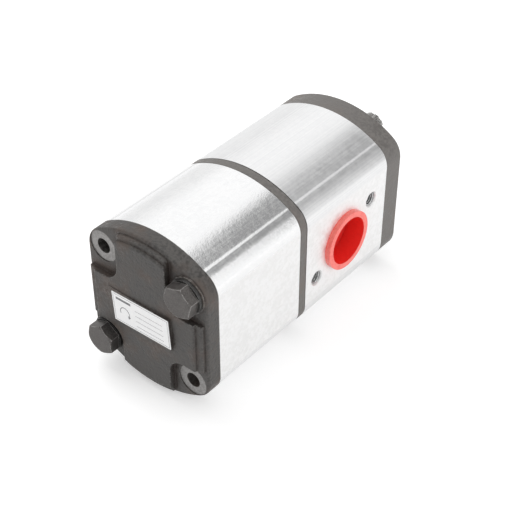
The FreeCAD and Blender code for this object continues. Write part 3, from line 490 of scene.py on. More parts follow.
def iron_skin(name, lift, grain_depth, rust, evenness=0.0):
    """Cast iron. Lift makes its colours lighter by one factor, evenness brings the dark ones up."""
    tree, shader = new_finish(name, IRON_LIGHT * lift, 0.5)
    grain = use_group(tree, CAST_GRAIN, {"Grain": 620.0, "Patches": 90.0})
    edges = use_group(tree, EDGE_WEAR_AND_HIGHLIGHT, {"Radius": 1.1 * MM, "Strength": 2.4})
    grime_and_shade = use_group(tree, GRIME_AND_SHADE, {"Reach": 4.0 * MM, "Strength": 1.7})
    stained = calc(tree, "MULTIPLY", grain.outputs["Stain"], rust)
    # Speckled lighter edges: wear and a painted highlight
    wear_and_highlight = calc(tree, "MULTIPLY", edges.outputs["Mask"], grain.outputs["Speck"])
    dark = IRON_DARK.lerp(IRON_LIGHT, evenness) * lift
    skin = blend_colours(tree, grain.outputs["Tone"], dark, IRON_LIGHT * lift)
    rusty = blend_colours(tree, stained, skin, IRON_RUST * lift)
    rubbed_and_highlit = blend_colours(tree, wear_and_highlight, rusty, IRON_WEAR_AND_HIGHLIGHT)
    # Closed places go towards near black: grime and painted shade
    tint(tree, shader, grime_and_shade.outputs["Mask"], rubbed_and_highlit, IRON_HOLLOW_SHADE)
    roughen(tree, shader, grain.outputs["Tone"], 0.34, 0.64)
    raise_surface(tree, shader, grain.outputs["Height"], grain_depth, rounded_mm=1.0)


# Both are the same iron: the front cover and the plate get colours almost twice as light as the rear
# cover's, with their dark tones evened up.
iron_skin("iron_rear", lift=0.72, grain_depth=0.70, rust=0.8)
iron_skin("iron_front", lift=1.36, grain_depth=0.50, rust=0.25, evenness=0.5)
print("finishes:", ", ".join(FINISH))

# %% [markdown]
# Where a cutter has been, the iron is bare and grey, with rings round the middle of the cut. The
# rings are far too fine to model, so they are a bump.


# %% Machined iron
def iron_cut(name, centre, rings_mm):
    """Bare iron with rings round one centre, given in the frame, and this far apart."""
    tree, shader = new_finish(name, (0.28, 0.27, 0.265), 0.38, 0.85)
    angle_per_metre = 2 * math.pi / (rings_mm * MM)
    rings = use_group(tree, TURNING_MARKS, {"Centre": centre, "Rings": angle_per_metre})
    grain = use_group(tree, CAST_GRAIN, {"Grain": 900.0, "Patches": 120.0})
    tint(tree, shader, grain.outputs["Tone"], (0.25, 0.242, 0.236), (0.35, 0.341, 0.333))
    raise_surface(tree, shader, rings.outputs["Height"], depth_mm=0.03, strength=0.6)


HOLE_PLACE = 30 * MM
HOLE_CENTRES = [Vector((0, way * HOLE_PLACE, MID_HEIGHT + way * HOLE_PLACE)) for way in (1, -1)]
iron_cut("spot_face_left", HOLE_CENTRES[0], rings_mm=0.55)
iron_cut("spot_face_right", HOLE_CENTRES[1], rings_mm=0.55)
iron_cut("iron_turned", Vector((0, 0, 0)), rings_mm=0.8)
print(len(FINISH), "finishes so far")

# %% [markdown]
# The housings have two finishes: the extruded skin over the arched top, corners and bottom, with
# drawn lines and a strong shine, and the milled side flats, which are matt and almost white.


# %% Aluminium skin
DIE_FINENESS = 42.0
STEP_RISE_MM = 0.50
ROUGHNESS_SPREAD = 0.06


def aluminium_skin(name, base, roughness, line_depth, grain_depth, streaks, stain):
    """Extruded aluminium. Streaks is the lines' share of its tone, stain how dark the tone gets."""
    tree, shader = new_finish(name, (base, base, base), roughness, 1.0)
    lines = use_group(tree, DIE_LINES, {
        "Fineness": DIE_FINENESS, "Step": STEP_RISE_MM / line_depth})
    grain = use_group(tree, CAST_GRAIN, {"Grain": 1100.0, "Patches": 70.0})
    blotches = use_group(tree, CAST_GRAIN, {"Grain": 480.0, "Patches": 90.0})
    drawn = calc(tree, "MULTIPLY", lines.outputs["Tone"], streaks)
    blotched = calc(tree, "MULTIPLY", blotches.outputs["Tone"], 1.0 - streaks)
    darkest = base - stain
    tint(tree, shader, calc(tree, "ADD", drawn, blotched),
         (darkest, darkest + 0.003, darkest + 0.01), (base + 0.03,) * 3)
    both = calc(tree, "ADD", blotches.outputs["Tone"], lines.outputs["Tone"])
    spread = calc(tree, "MULTIPLY_ADD", both, ROUGHNESS_SPREAD, roughness - 0.07)
    fill(tree, shader.inputs["Roughness"], spread)
    scored = bump(tree, lines.outputs["Height"], line_depth)
    pebbled = bump(tree, grain.outputs["Height"], grain_depth)
    fill(tree, pebbled.inputs["Normal"], scored.outputs["Normal"])
    fill(tree, shader.inputs["Normal"], pebbled.outputs["Normal"])


aluminium_skin("aluminium_rear", base=0.965, roughness=0.19, line_depth=0.006, grain_depth=0.08,
               streaks=0.4, stain=0.03)
aluminium_skin("aluminium_front", base=0.95, roughness=0.35, line_depth=0.012, grain_depth=0.015,
               streaks=0.7, stain=0.085)
print(len(FINISH), "finishes so far")


# %% Milled and bored aluminium
def aluminium_flat():
    tree, shader = new_finish("aluminium_flat", (0.94, 0.94, 0.94), 0.55, 0.75)
    grain = use_group(tree, CAST_GRAIN, {"Grain": 420.0, "Patches": 60.0})
    tint(tree, shader, grain.outputs["Tone"], (0.925, 0.925, 0.92), (0.99, 0.99, 0.99))
    roughen(tree, shader, grain.outputs["Tone"], 0.48, 0.64)
    raise_surface(tree, shader, grain.outputs["Height"], depth_mm=0.03)


def aluminium_cut():
    tree, shader = new_finish("aluminium_cut", (0.80, 0.805, 0.81), 0.34, 1.0)
    grain = use_group(tree, CAST_GRAIN, {"Grain": 1100.0, "Patches": 160.0})
    # Bores and closed places are darkened towards black: grime and painted shade.
    grime_and_shade = use_group(tree, GRIME_AND_SHADE, {"Reach": 6.0 * MM, "Strength": 1.2})
    bare = blend_colours(tree, grain.outputs["Tone"], (0.70, 0.705, 0.71), (0.86, 0.865, 0.87))
    tint(tree, shader, grime_and_shade.outputs["Mask"], bare, (0.02, 0.02, 0.02))
    raise_surface(tree, shader, grain.outputs["Height"], depth_mm=0.02)


aluminium_flat()
aluminium_cut()
print(len(FINISH), "finishes so far")

# %% [markdown]
# Bolts and washers have a dark oiled finish with bright corners, which are partly worn and partly a
# painted highlight. The shaft and gears are ground steel, and the bushes are lined with bronze. One
# function makes them all, from a dark and a light tone and the colour of an edge's wear and
# highlight. An optional strength darkens closed places with grime and painted shade.

# %% Steel and bronze
OIL_GRIME_AND_SHADE = (0.014, 0.011, 0.010)


def steel(name, dark, light, wear_and_highlight, roughness, metallic=1.0, edge_mm=0.5, grime_and_shade_strength=0.0):
    tree, shader = new_finish(name, light, roughness, metallic)
    grain = use_group(tree, CAST_GRAIN, {"Grain": 1400.0, "Patches": 160.0})
    edges = use_group(tree, EDGE_WEAR_AND_HIGHLIGHT, {"Radius": edge_mm * MM, "Strength": 3.0})
    colour = blend_colours(tree, grain.outputs["Tone"], dark, light)
    # Lighter edges: wear and a painted highlight.
    colour = blend_colours(tree, edges.outputs["Mask"], colour, wear_and_highlight)
    # Closed places darkened: grime and painted shade.
    if grime_and_shade_strength:
        grime_and_shade = use_group(tree, GRIME_AND_SHADE, {"Reach": 2.5 * MM, "Strength": grime_and_shade_strength})
        colour = blend_colours(tree, grime_and_shade.outputs["Mask"], colour, OIL_GRIME_AND_SHADE)
    fill(tree, shader.inputs["Base Color"], colour)
    roughen(tree, shader, grain.outputs["Tone"], roughness - 0.06, roughness + 0.08)
    raise_surface(tree, shader, grain.outputs["Height"], depth_mm=0.03)


steel("bolt_steel", dark=(0.088, 0.081, 0.077), light=(0.135, 0.126, 0.120),
      wear_and_highlight=(0.66, 0.64, 0.62), roughness=0.38, metallic=0.6, edge_mm=0.8, grime_and_shade_strength=1.4)
# The washers are much darker than the bolts: partly their dark finish, partly painted shade from the
# bolt heads over them.
steel("washer_steel", dark=(0.035, 0.034, 0.033), light=(0.08, 0.078, 0.075),
      wear_and_highlight=(0.22, 0.215, 0.21), roughness=0.38, metallic=0.6, grime_and_shade_strength=1.6)
steel("gear_steel", dark=(0.40, 0.39, 0.375), light=(0.52, 0.51, 0.50),
      wear_and_highlight=(0.70, 0.69, 0.68), roughness=0.28)
steel("bronze", dark=(0.42, 0.27, 0.12), light=(0.55, 0.37, 0.18),
      wear_and_highlight=(0.72, 0.53, 0.30), roughness=0.3)
steel("thread_metal", dark=(0.62, 0.62, 0.625), light=(0.86, 0.86, 0.87),
      wear_and_highlight=(0.95, 0.95, 0.95), roughness=0.24, grime_and_shade_strength=0.5)
print(len(FINISH), "finishes so far")

# %% [markdown]
# The plugs are soft red plastic. Light that gets into the cup reddens further with every bounce, and
# its thin rim is lit through. Both are painted: the cup's depths get a painted deep red shade rather
# than black, and the rim a paler colour of painted light. Light scattered inside the plastic could
# be worked out too, but a mask of the closed corners is quicker and gives a plain colour.


# %% Plastic and rubber
def plastic(name, dark, light, roughness, depth_shade=None, **extra):
    """Plastic or rubber. The optional colour of the depths is painted shade, for where little light
    gets in.
    """
    tree, shader = new_finish(name, light, roughness, 0.0, **extra)
    grain = use_group(tree, CAST_GRAIN, {"Grain": 500.0, "Patches": 60.0})
    colour = blend_colours(tree, grain.outputs["Tone"], dark, light)
    # The depths get a painted deep shade.
    if depth_shade:
        grime_and_shade = use_group(tree, GRIME_AND_SHADE, {"Reach": 14.0 * MM, "Strength": 0.65})
        colour = blend_colours(tree, grime_and_shade.outputs["Mask"], colour, depth_shade)
    fill(tree, shader.inputs["Base Color"], colour)
    raise_surface(tree, shader, grain.outputs["Height"], depth_mm=0.02, strength=0.6)


plastic("plug_cup", dark=(0.94, 0.034, 0.026), light=(0.98, 0.040, 0.030), roughness=0.28,
        depth_shade=(0.36, 0.007, 0.009), Coat_Weight=0.4)
plastic("plug_rim_painted_light", dark=(0.91, 0.125, 0.10), light=(0.97, 0.18, 0.145), roughness=0.38,
        Coat_Weight=0.5)
plastic("rubber", dark=(0.012, 0.012, 0.012), light=(0.03, 0.03, 0.03), roughness=0.55)
plastic("backing", dark=(0.70, 0.68, 0.62), light=(0.82, 0.80, 0.74), roughness=0.5)
print(len(FINISH), "finishes")

# %% [markdown]
# ## Smooth copies of the solids
# A solid arrives as loose triangles, which show as flat facets on a shiny curve. The visible
# pieces are therefore copied, the copy's triangles are welded, flat areas are merged into single
# faces, and the shading is smoothed up to a crease angle. The copy stands in for its solid and
# has exactly its shape, apart from small cones at the housings' screw holes. Faces are sorted into
# finishes by where they lie.

# %% Copy, weld and smooth
WELD = 0.002 * MM
FLAT_ANGLE = math.radians(0.15)


def smooth_copy(name, node, body, finishes, sort=None, crease=32.0, shape=None):
    """Copy a node for show, with edges over the crease, in degrees, left sharp.

    sort(centre, normal) gives a face's place in the list of finishes, shape(form) changes the form.
    """
    form = bmesh.new()
    form.from_mesh(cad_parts[node].data)
    bmesh.ops.remove_doubles(form, verts=form.verts, dist=WELD)
    bmesh.ops.dissolve_degenerate(form, edges=form.edges, dist=WELD)
    if shape:
        shape(form)
    bmesh.ops.dissolve_limit(form, angle_limit=FLAT_ANGLE, verts=form.verts, edges=form.edges)
    for face in form.faces:
        face.smooth = True
        if sort:
            face.material_index = sort(face.calc_center_median(), face.normal)
    mesh = bpy.data.meshes.new(name)
    form.to_mesh(mesh)
    form.free()
    for finish in finishes:
        mesh.materials.append(FINISH[finish])
    mesh.set_sharp_from_angle(angle=math.radians(crease))
    piece = bpy.data.objects.new(name, mesh)
    scene.collection.objects.link(piece)
    even = piece.modifiers.new("even_normals", "WEIGHTED_NORMAL")
    even.keep_sharp = True
    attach(piece, body)
    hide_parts(node)
    return piece


# %% [markdown]
# ### Covers and plate
# Most of each iron piece keeps its cast skin. Only what a tool has touched is bare: the round
# spot faces under the screw heads, the mounting face, the pilot and the bores.

# %% The rear cover
FACING = 0.99  # a face looks along an axis where its normal's part along it is more than this
HOLE_REACH = 9.6 * MM
SPOT_FACE_SINK = 1.5 * MM
SPOT_FACE_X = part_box("washer_upper")[1].x + SPOT_FACE_SINK
SPOT_FACE_SLACK = 0.3 * MM


def near_hole(centre, place):
    return math.hypot(place.y - centre.y, place.z - centre.z) < HOLE_REACH


def sort_rear_cover(place, normal):
    if normal.x < -FACING and abs(place.x - SPOT_FACE_X) < SPOT_FACE_SLACK:
        for number, centre in enumerate(HOLE_CENTRES, start=1):
            if near_hole(centre, place):
                return number
    return 0


rear_cover = smooth_copy("rear_cover_casting", "rear_cover", "casing",
                         ["iron_rear", "spot_face_left", "spot_face_right"], sort_rear_cover)
print("spot faces:", sum(1 for face in rear_cover.data.polygons if face.material_index))

# %% [markdown]
# The front cover is turned wherever the pump meets its drive: on the mounting face, and on
# everything round the shaft that stands out from it. The plate is cast all round.

# %% The front cover and the plate
PILOT_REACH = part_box("pilot_o_ring")[1].y + 1 * MM
PILOT_START = -1 * MM
MOUNTING_FACE_SLACK = 0.1 * MM


def sort_front_cover(place, normal):
    on_pilot = math.hypot(place.y, place.z) < PILOT_REACH and place.x > PILOT_START
    on_mounting_face = normal.x > FACING and abs(place.x) < MOUNTING_FACE_SLACK
    return 1 if on_pilot or on_mounting_face else 0


front_cover = smooth_copy("front_cover_casting", "front_cover", "casing",
                          ["iron_front", "iron_turned"], sort_front_cover)
smooth_copy("middle_plate", "intermediate_plate", "casing", ["iron_front"])
print("front cover faces:", len(front_cover.data.polygons))

# %% [markdown]
# ### Housings
# The outline of a housing is an arch, two round corners and two flats. A face belongs to the
# extruded skin if it lies on that outline, to the milled flats if it lies at the full width, and
# everything else, the ends, ports and bores, has been cut with a tool.

# %% The outline of a housing
housing_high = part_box("rear_body")[1]
HALF_WIDTH = housing_high.y
HALF_HEIGHT = housing_high.z - MID_HEIGHT
ARCH_RADIUS = 64.8 * MM
CORNER_RADIUS = 14.1 * MM
ARCH_DROP = ARCH_RADIUS - HALF_HEIGHT
CORNER_Y = HALF_WIDTH - CORNER_RADIUS
CORNER_Z = math.sqrt((ARCH_RADIUS - CORNER_RADIUS) ** 2 - CORNER_Y ** 2) - ARCH_DROP
SKIN, FLAT, CUT = 0, 1, 2
MOUTH_RADIUS = 5.0 * MM
MOUTH_DEPTH = 1.0 * MM
OUTLINE_SLACK = 0.15 * MM
FLAT_SLACK = 0.05 * MM
END_FACING = 0.9
FLAT_FACING = 0.999
CONE_FACING = 0.6


def on_outline(place):
    """Whether a place lies on the arch or on a round corner, and not inside them."""
    y = abs(place.y)
    z = abs(place.z - MID_HEIGHT)
    on_arch = math.hypot(y, z + ARCH_DROP) > ARCH_RADIUS - OUTLINE_SLACK
    at_corner = y > CORNER_Y and z > CORNER_Z
    on_round = math.hypot(y - CORNER_Y, z - CORNER_Z) > CORNER_RADIUS - OUTLINE_SLACK
    return on_arch or (at_corner and on_round)


def sort_housing(place, normal):
    if abs(normal.x) > END_FACING:
        return CUT
    if abs(normal.y) > FLAT_FACING and abs(place.y) > HALF_WIDTH - FLAT_SLACK:
        return FLAT
    if on_outline(place):
        return SKIN
    in_cone = abs(normal.y) > CONE_FACING and abs(place.y) > HALF_WIDTH - MOUTH_DEPTH
    return FLAT if in_cone else CUT


print("a corner's middle lies at", round(CORNER_Y / MM, 1), round(CORNER_Z / MM, 1), "mm")

# %% [markdown]
# The screw holes beside the ports open into small cones, so that a screw starts easily. Each
# hole's rim sinks into the bore, a wider ring takes its place in the flat, and the patch of flat
# round it is filled again. A boolean cut could do it too, but it can leave slivers that shade
# unevenly, and here every face is known.

# %% Places of the screw holes
PORT_SCREW_TILT = math.radians(28)
SUCTION_PITCH = 56 * MM
PRESSURE_PITCH = 47 * MM


def port_screws(plug, pitch):
    """Places (x, z) of the two screw holes beside a port, and the side they open to."""
    low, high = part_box(plug)
    middle_x = (low.x + high.x) / 2
    side = 1 if high.y > HALF_WIDTH else -1
    along = pitch / 2 * math.cos(PORT_SCREW_TILT)
    up = pitch / 2 * math.sin(PORT_SCREW_TILT)
    return [(middle_x + way * along, MID_HEIGHT + way * up, side) for way in (1, -1)]


PORT_SCREWS = {
    "rear_body": port_screws("rear_pressure_plug", PRESSURE_PITCH),
    "front_body": [*port_screws("front_pressure_plug", PRESSURE_PITCH),
                   *port_screws("suction_plug", SUCTION_PITCH)],
}
print("screw holes:", {node: len(screws) for node, screws in PORT_SCREWS.items()})

# %% Cones at the screw holes
PATCH_REACH = 5.8 * MM
LEVEL_SLACK = 0.01 * MM


def on_flat(face, face_y):
    return (abs(face.normal.y) > FLAT_FACING
            and abs(face.calc_center_median().y - face_y) < LEVEL_SLACK)


def flat_faces(form, face_y):
    return [face for face in form.faces if on_flat(face, face_y)]


def cut_patch(form, x, z, face_y):
    """Cut a square round the hole out of the flat."""
    for way, place in ((Vector((1, 0, 0)), x), (Vector((0, 0, 1)), z)):
        for reach in (-PATCH_REACH, PATCH_REACH):
            faces = flat_faces(form, face_y)
            parts = {part for face in faces for part in (*face.verts, *face.edges)}
            bmesh.ops.bisect_plane(form, geom=[*faces, *parts],
                                   plane_co=way * (place + reach), plane_no=way)
    patch = []
    for face in flat_faces(form, face_y):
        middle = face.calc_center_median()
        if max(abs(middle.x - x), abs(middle.z - z)) < PATCH_REACH:
            patch.append(face)
    bmesh.ops.delete(form, geom=patch, context="FACES")


def cone_mouth(form, x, z, side):
    """Sink the hole's rim, join it to a wider ring in the flat, and close the flat round that."""
    face_y = side * HALF_WIDTH
    cut_patch(form, x, z, face_y)
    border = [edge for edge in form.edges if edge.is_boundary]
    rim = [edge for edge in border
           if all(math.hypot(end.co.x - x, end.co.z - z) < MOUTH_RADIUS for end in edge.verts)]
    wide = {}
    for end in {end for edge in rim for end in edge.verts}:
        out = Vector((end.co.x - x, 0, end.co.z - z)).normalized() * MOUTH_RADIUS
        wide[end] = form.verts.new((x + out.x, face_y, z + out.z))
        end.co.y = face_y - side * MOUTH_DEPTH
    ring = []
    for edge in rim:
        one, two = edge.verts
        face = form.faces.new((one, two, wide[two], wide[one]))
        face.normal_update()
        if face.normal.y * side < 0:
            face.normal_flip()
        ring.append(form.edges.get((wide[one], wide[two])))
    outer = [edge for edge in border if edge not in rim]
    bmesh.ops.triangle_fill(form, edges=outer + ring, use_beauty=True, normal=(0, side, 0))


def open_holes(screws):
    """A change of shape for smooth_copy, which opens all of a housing's screw holes."""
    def shape(form):
        for x, z, side in screws:
            cone_mouth(form, x, z, side)

    return shape


print("cones", round(2 * MOUTH_RADIUS / MM, 1), "mm wide,", round(MOUTH_DEPTH / MM, 1), "mm deep")

# %% Housings
for name, node, skin in (("rear_housing", "rear_body", "aluminium_rear"),
                         ("front_housing", "front_body", "aluminium_front")):
    housing = smooth_copy(name, node, "casing",
                          [skin, "aluminium_flat", "aluminium_cut"], sort_housing,
                          shape=open_holes(PORT_SCREWS[node]))
    zones = [face.material_index for face in housing.data.polygons]
    print(name, "skin, flat, cut faces:", [zones.count(zone) for zone in (SKIN, FLAT, CUT)])

# %% [markdown]
# ### Bolts, washers, shaft and plugs
# These are right as they are in shape, so each only needs its smooth copy. A plug gets two finishes:
# the rim, painted paler as if lit through, is every face outside the housing that looks out of the
# port or away from the plug's own axis.

# %% Small pieces
for corner in ("upper", "lower"):
    smooth_copy(f"bolt_{corner}", f"clamp_bolt_{corner}", "casing", ["bolt_steel"],
                crease=20)
    smooth_copy(f"bolt_washer_{corner}", f"washer_{corner}", "casing",
                ["washer_steel"])

smooth_copy("input_shaft", "front_drive_gear", "drive_line", ["gear_steel"])
smooth_copy("lip_seal", "shaft_seal", "casing", ["rubber"])
smooth_copy("seal_ring", "seal_circlip", "casing", ["washer_steel"])
smooth_copy("pilot_ring", "pilot_o_ring", "casing", ["rubber"], crease=60)


# %% Plugs
def plug_sorter(node):
    """A sort for smooth_copy: 1 on a plug's rim, and 0 on the rest of its cup."""
    low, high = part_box(node)
    axis = (low + high) / 2

    def sort_plug(place, normal):
        outward = (place - axis) * Vector((1, 0, 1))
        looks_out = abs(normal.y) > FACING or normal.dot(outward) > 0
        return 1 if looks_out and abs(place.y) > HALF_WIDTH + FLAT_SLACK else 0

    return sort_plug


for node in ("suction_plug", "front_pressure_plug", "rear_pressure_plug"):
    cup = smooth_copy(f"{node}_cup", node, node, ["plug_cup", "plug_rim_painted_light"],
                      plug_sorter(node))
    print(node, "rim faces:", sum(face.material_index for face in cup.data.polygons))

# %% [markdown]
# ### Threads
# Six holes round the ports are tapped. A thread is one profile carried along a helix, which is
# what Geometry Nodes do well: a spiral curve, a profile swept along it, and one copy on each
# hole's point, turned to face out of its port.

# %% The profile of a thread
THREAD_RADIUS = 4.0 * MM
THREAD_DEPTH = 0.62 * MM
THREAD_PITCH = 1.25 * MM
THREAD_LENGTH = 13.0 * MM
THREAD_START = MOUTH_DEPTH + 0.3 * MM
WALL_SHARE = 0.44
CREST_SHARE = 0.07
STEPS_PER_TURN = 24


def thread_profile(tree, depth, pitch):
    """A blunt tooth: two points on the wall and two on the crest, joined round."""
    ring = add_node(tree, "GeometryNodeCurvePrimitiveQuadrilateral", {"mode": "POINTS"})
    corners = ((0.0, WALL_SHARE), (depth, CREST_SHARE), (depth, -CREST_SHARE), (0.0, -WALL_SHARE))
    for number, (x, share) in enumerate(corners, start=1):
        y = calc(tree, "MULTIPLY", pitch, share)
        point = add_node(tree, "ShaderNodeCombineXYZ", None, {"X": x, "Y": y})
        fill(tree, ring.inputs[f"Point {number}"], point.outputs[0])
    return ring.outputs[0]


print("turns of thread in a hole:", round(THREAD_LENGTH / THREAD_PITCH, 1))


# %% The tree of the threads
def thread_tree():
    """One thread on each point of Holes, turned by the point's outward vector."""
    tree, taken, given = new_group(
        "tapped_threads",
        {"Holes": GEOMETRY, "Radius": FLOAT, "Depth": FLOAT, "Pitch": FLOAT, "Length": FLOAT,
         "Finish": "NodeSocketMaterial"},
        {"Threads": GEOMETRY}, kind="GeometryNodeTree")
    size = taken.outputs
    turns = calc(tree, "DIVIDE", size["Length"], size["Pitch"])
    spiral = add_node(tree, "GeometryNodeCurveSpiral", None, {
        "Resolution": STEPS_PER_TURN, "Rotations": turns, "Start Radius": size["Radius"],
        "End Radius": size["Radius"], "Height": size["Length"]})
    upright = add_node(tree, "GeometryNodeSetCurveNormal", {"mode": "Z_UP"},
                       {"Curve": spiral.outputs[0]})
    sweep = add_node(tree, "GeometryNodeCurveToMesh", None, {
        "Curve": upright.outputs[0], "Fill Caps": True,
        "Profile Curve": thread_profile(tree, size["Depth"], size["Pitch"])})
    outward = add_node(tree, "GeometryNodeInputNamedAttribute", {"data_type": "FLOAT_VECTOR"},
                       {"Name": "outward"})
    turn = add_node(tree, "FunctionNodeAlignRotationToVector", {"axis": "Z"},
                    {"Vector": outward.outputs["Attribute"]})
    copies = add_node(tree, "GeometryNodeInstanceOnPoints", None, {
        "Points": size["Holes"], "Instance": sweep.outputs[0], "Rotation": turn.outputs[0]})
    real = add_node(tree, "GeometryNodeRealizeInstances", None, {0: copies.outputs[0]})
    painted = add_node(tree, "GeometryNodeSetMaterial", None, {
        "Geometry": real.outputs[0], "Material": size["Finish"]})
    fill(tree, given.inputs["Threads"], painted.outputs[0])
    return tree


THREAD_TREE = thread_tree()
print("nodes in the tree:", len(THREAD_TREE.nodes))

# %% [markdown]
# Each hole is a point at the inner end of its thread, with a vector that says which way is out.
# The evaluated result is then turned into a plain mesh, so nothing live is left on the piece.

# %% Threads in the six holes
def make_threads():
    inner_y = HALF_WIDTH - THREAD_START - THREAD_LENGTH
    holes = [hole for screws in PORT_SCREWS.values() for hole in screws]
    points = bpy.data.meshes.new("hole_points")
    points.from_pydata([(x, side * inner_y, z) for x, z, side in holes], [], [])
    ways = points.attributes.new("outward", "FLOAT_VECTOR", "POINT")
    for spot, hole in zip(ways.data, holes):
        spot.vector = (0, hole[2], 0)
    carrier = bpy.data.objects.new("hole_points", points)
    scene.collection.objects.link(carrier)
    values = {"Radius": THREAD_RADIUS, "Depth": THREAD_DEPTH, "Pitch": THREAD_PITCH,
              "Length": THREAD_LENGTH, "Finish": FINISH["thread_metal"]}
    live = carrier.modifiers.new("threads", "NODES")
    live.node_group = THREAD_TREE
    for item in THREAD_TREE.interface.items_tree:
        if item.in_out == "INPUT" and item.name in values:
            live[item.identifier] = values[item.name]
    bpy.context.view_layer.update()
    ready = carrier.evaluated_get(bpy.context.evaluated_depsgraph_get())
    mesh = bpy.data.meshes.new_from_object(ready)
    mesh.name = "port_threads"
    bpy.data.objects.remove(carrier)
    threads = bpy.data.objects.new("port_threads", mesh)
    scene.collection.objects.link(threads)
    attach(threads, "casing")
    return threads


threads = make_threads()
print("thread faces:", len(threads.data.polygons))

# %% [markdown]
# ### Label
# The pad on the rear cover slopes, and a thin sticker lies on it, turned a little. It carries a
# border, a bar, ruled rows and an arrow that shows which way the shaft turns. The sticker and its
# print are thin slabs cut to outlines in the pad's own plane, so the print stays crisp up close.

# %% The label's plane
LABEL_WIDTH = 41.8 * MM
LABEL_HEIGHT = 19.2 * MM
LABEL_CORNER = 0.4 * MM
LABEL_THICKNESS = 0.25 * MM
LABEL_TURN = math.radians(3.8)
LABEL_SHIFT = 0.5 * MM
LABEL_DROP = 1.2 * MM
CROWN_HEIGHT = 13.1 * MM
PAD_SINK = 0.4 * MM
PAD_LEFT_Y = 24.5 * MM
PAD_RIGHT_Y = -19.8 * MM
PAD_LEFT_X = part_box("rear_body")[0].x - CROWN_HEIGHT - PAD_SINK
PAD_RIGHT_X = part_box("rear_cover")[0].x
PAD_SLOPE = (PAD_RIGHT_X - PAD_LEFT_X) / (PAD_RIGHT_Y - PAD_LEFT_Y)
LABEL_X = PAD_LEFT_X + PAD_SLOPE * (LABEL_SHIFT - PAD_LEFT_Y)
LABEL_MIDDLE = Vector((LABEL_X, LABEL_SHIFT, MID_HEIGHT - LABEL_DROP))
ACROSS = Vector((PAD_RIGHT_X - PAD_LEFT_X, PAD_RIGHT_Y - PAD_LEFT_Y, 0)).normalized()
RAISED = Vector((0, 0, 1))
OUT_OF_PAD = ACROSS.cross(RAISED).normalized()


def on_label(across, up, out):
    """A place on the label: across to the right, up, and out from the pad."""
    cosine = math.cos(LABEL_TURN)
    sine = math.sin(LABEL_TURN)
    level = LABEL_MIDDLE + ACROSS * (across * cosine - up * sine)
    return level + RAISED * (across * sine + up * cosine) + OUT_OF_PAD * out


print("the pad slopes", round(math.degrees(math.atan(PAD_SLOPE)), 1), "degrees")

# %% [markdown]
# Print could be an image on the sticker, but an image has a fixed fineness. Here each mark is an
# outline in the label's own two directions, given a top, a foot and walls. Two kinds do for all of
# it: a filled slab, and a strip between an inner and an outer outline for the border.


# %% Slabs on the label
def slab(form, outline, low, high):
    """A thin closed slab over an outline of (across, up) points."""
    top = [form.verts.new(on_label(x, y, high)) for x, y in outline]
    foot = [form.verts.new(on_label(x, y, low)) for x, y in outline]
    form.faces.new(top)
    form.faces.new(foot[::-1])
    for number in range(len(outline)):
        after = (number + 1) % len(outline)
        form.faces.new((top[after], top[number], foot[number], foot[after]))


def strip(form, inner, outer, low, high):
    """A thin closed ring between two outlines with the same number of points."""
    rows = [[form.verts.new(on_label(x, y, out)) for x, y in outline]
            for outline, out in ((inner, high), (outer, high), (outer, low), (inner, low))]
    for number in range(len(inner)):
        after = (number + 1) % len(inner)
        for row, following in zip(rows, rows[1:] + rows[:1]):
            form.faces.new((row[number], row[after], following[after], following[number]))


def rounded_box(width, height, corner, steps=5):
    points = []
    for quarter, (sx, sy) in enumerate(((1, 1), (-1, 1), (-1, -1), (1, -1))):
        for step in range(steps + 1):
            angle = math.pi / 2 * (quarter + step / steps)
            points.append((sx * (width / 2 - corner) + corner * math.cos(angle),
                           sy * (height / 2 - corner) + corner * math.sin(angle)))
    return points


def bar(x, y, width, height):
    return [(x, y), (x + width, y), (x + width, y + height), (x, y + height)]


def finish_slabs(name, form, finish):
    bmesh.ops.recalc_face_normals(form, faces=form.faces)
    mesh = bpy.data.meshes.new(name)
    form.to_mesh(mesh)
    form.free()
    mesh.materials.append(finish)
    piece = bpy.data.objects.new(name, mesh)
    scene.collection.objects.link(piece)
    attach(piece, "casing")
    return piece


# %% [markdown]
# The sticker is slightly uneven white film. Its print is grey ink, thin enough that it needs no
# shape of its own, but a slab of two hundredths keeps it clear of the film.

# %% The sticker
plastic("label_film", dark=(0.975, 0.975, 0.98), light=(1.0, 1.0, 1.0), roughness=0.35,
        Coat_Weight=0.8)
form = bmesh.new()
slab(form, rounded_box(LABEL_WIDTH, LABEL_HEIGHT, LABEL_CORNER), 0.0, LABEL_THICKNESS)
sticker = finish_slabs("label_sticker", form, FINISH["label_film"])
print("sticker faces:", len(sticker.data.polygons))

# %% Border and rows
BORDER_INSET = 0.8 * MM
PRINT_THICKNESS = 0.02 * MM
LINE_WIDTH = 0.22 * MM
ROW_STEP = 3.4 * MM
ROW_LENGTH = 20.0 * MM
LOWEST_ROW = (-4.0 * MM, -6.4 * MM)
BAR_PLACE = (-18.0 * MM, 5.6 * MM)
BAR_SIZE = (11.0 * MM, 1.5 * MM)
INK = (LABEL_THICKNESS, LABEL_THICKNESS + PRINT_THICKNESS)


def border_outline(inset, corner):
    return rounded_box(LABEL_WIDTH - 2 * inset, LABEL_HEIGHT - 2 * inset, corner)


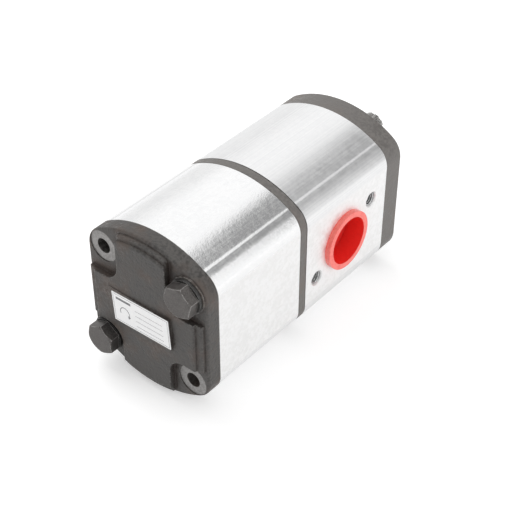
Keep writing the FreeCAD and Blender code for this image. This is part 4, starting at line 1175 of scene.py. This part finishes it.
form = bmesh.new()
strip(form, border_outline(BORDER_INSET + LINE_WIDTH, LABEL_CORNER / 2 - LINE_WIDTH),
      border_outline(BORDER_INSET, LABEL_CORNER / 2), *INK)
for row in range(4):
    slab(form, bar(LOWEST_ROW[0], LOWEST_ROW[1] + row * ROW_STEP, ROW_LENGTH, LINE_WIDTH), *INK)
slab(form, bar(*BAR_PLACE, *BAR_SIZE), *INK)
print("faces of the border and the rows:", len(form.faces))

# %% The turning arrow
ARROW_MIDDLE = (-12.2 * MM, -1.6 * MM)
ARROW_RADIUS = 3.4 * MM
ARROW_WIDTH = 0.5 * MM
HEAD_WIDTH = 2.2 * MM
HEAD_LENGTH = 1.9 * MM
ARC_ANGLES = [math.radians(200 - 10 * step) for step in range(23)]


def on_arc(angle, radius, ahead=0.0):
    """A place at this angle and radius, moved ahead in the way that the arrow turns."""
    return (ARROW_MIDDLE[0] + radius * math.cos(angle) + ahead * math.sin(angle),
            ARROW_MIDDLE[1] + radius * math.sin(angle) - ahead * math.cos(angle))


inside = ARROW_RADIUS - ARROW_WIDTH / 2
outside = ARROW_RADIUS + ARROW_WIDTH / 2
for angle, following in zip(ARC_ANGLES, ARC_ANGLES[1:]):
    slab(form, [on_arc(angle, inside), on_arc(angle, outside), on_arc(following, outside),
                on_arc(following, inside)], *INK)
last = ARC_ANGLES[-1]
slab(form, [on_arc(last, ARROW_RADIUS - HEAD_WIDTH / 2), on_arc(last, ARROW_RADIUS, HEAD_LENGTH),
            on_arc(last, ARROW_RADIUS + HEAD_WIDTH / 2)], *INK)
plastic("label_ink", dark=(0.16, 0.16, 0.17), light=(0.24, 0.24, 0.25), roughness=0.5)
label_print = finish_slabs("label_print", form, FINISH["label_ink"])
print("print faces:", len(label_print.data.polygons))

# %% [markdown]
# ## Hidden parts
# What lies inside stays as the frame gives it and only gets its finish, so that the pump also
# looks right when its plugs are out or its housing is taken away.

# %% Finishes of the hidden parts
HIDDEN = {
    "gear_steel": ("front_driven_gear", "rear_drive_gear", "rear_driven_gear", "shaft_coupling"),
    "aluminium_cut": ("_block",),
    "bronze": ("_bush",),
    "backing": ("_backup",),
    "rubber": ("_seal",),
    "washer_steel": ("_dowel_far_side", "_dowel_port_side"),
}
painted = 0
for finish, endings in HIDDEN.items():
    for node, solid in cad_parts.items():
        if node.endswith(endings):
            painted += 1
            for place in solid.material_slots:
                place.material = FINISH[finish]
print(painted, "hidden nodes painted")
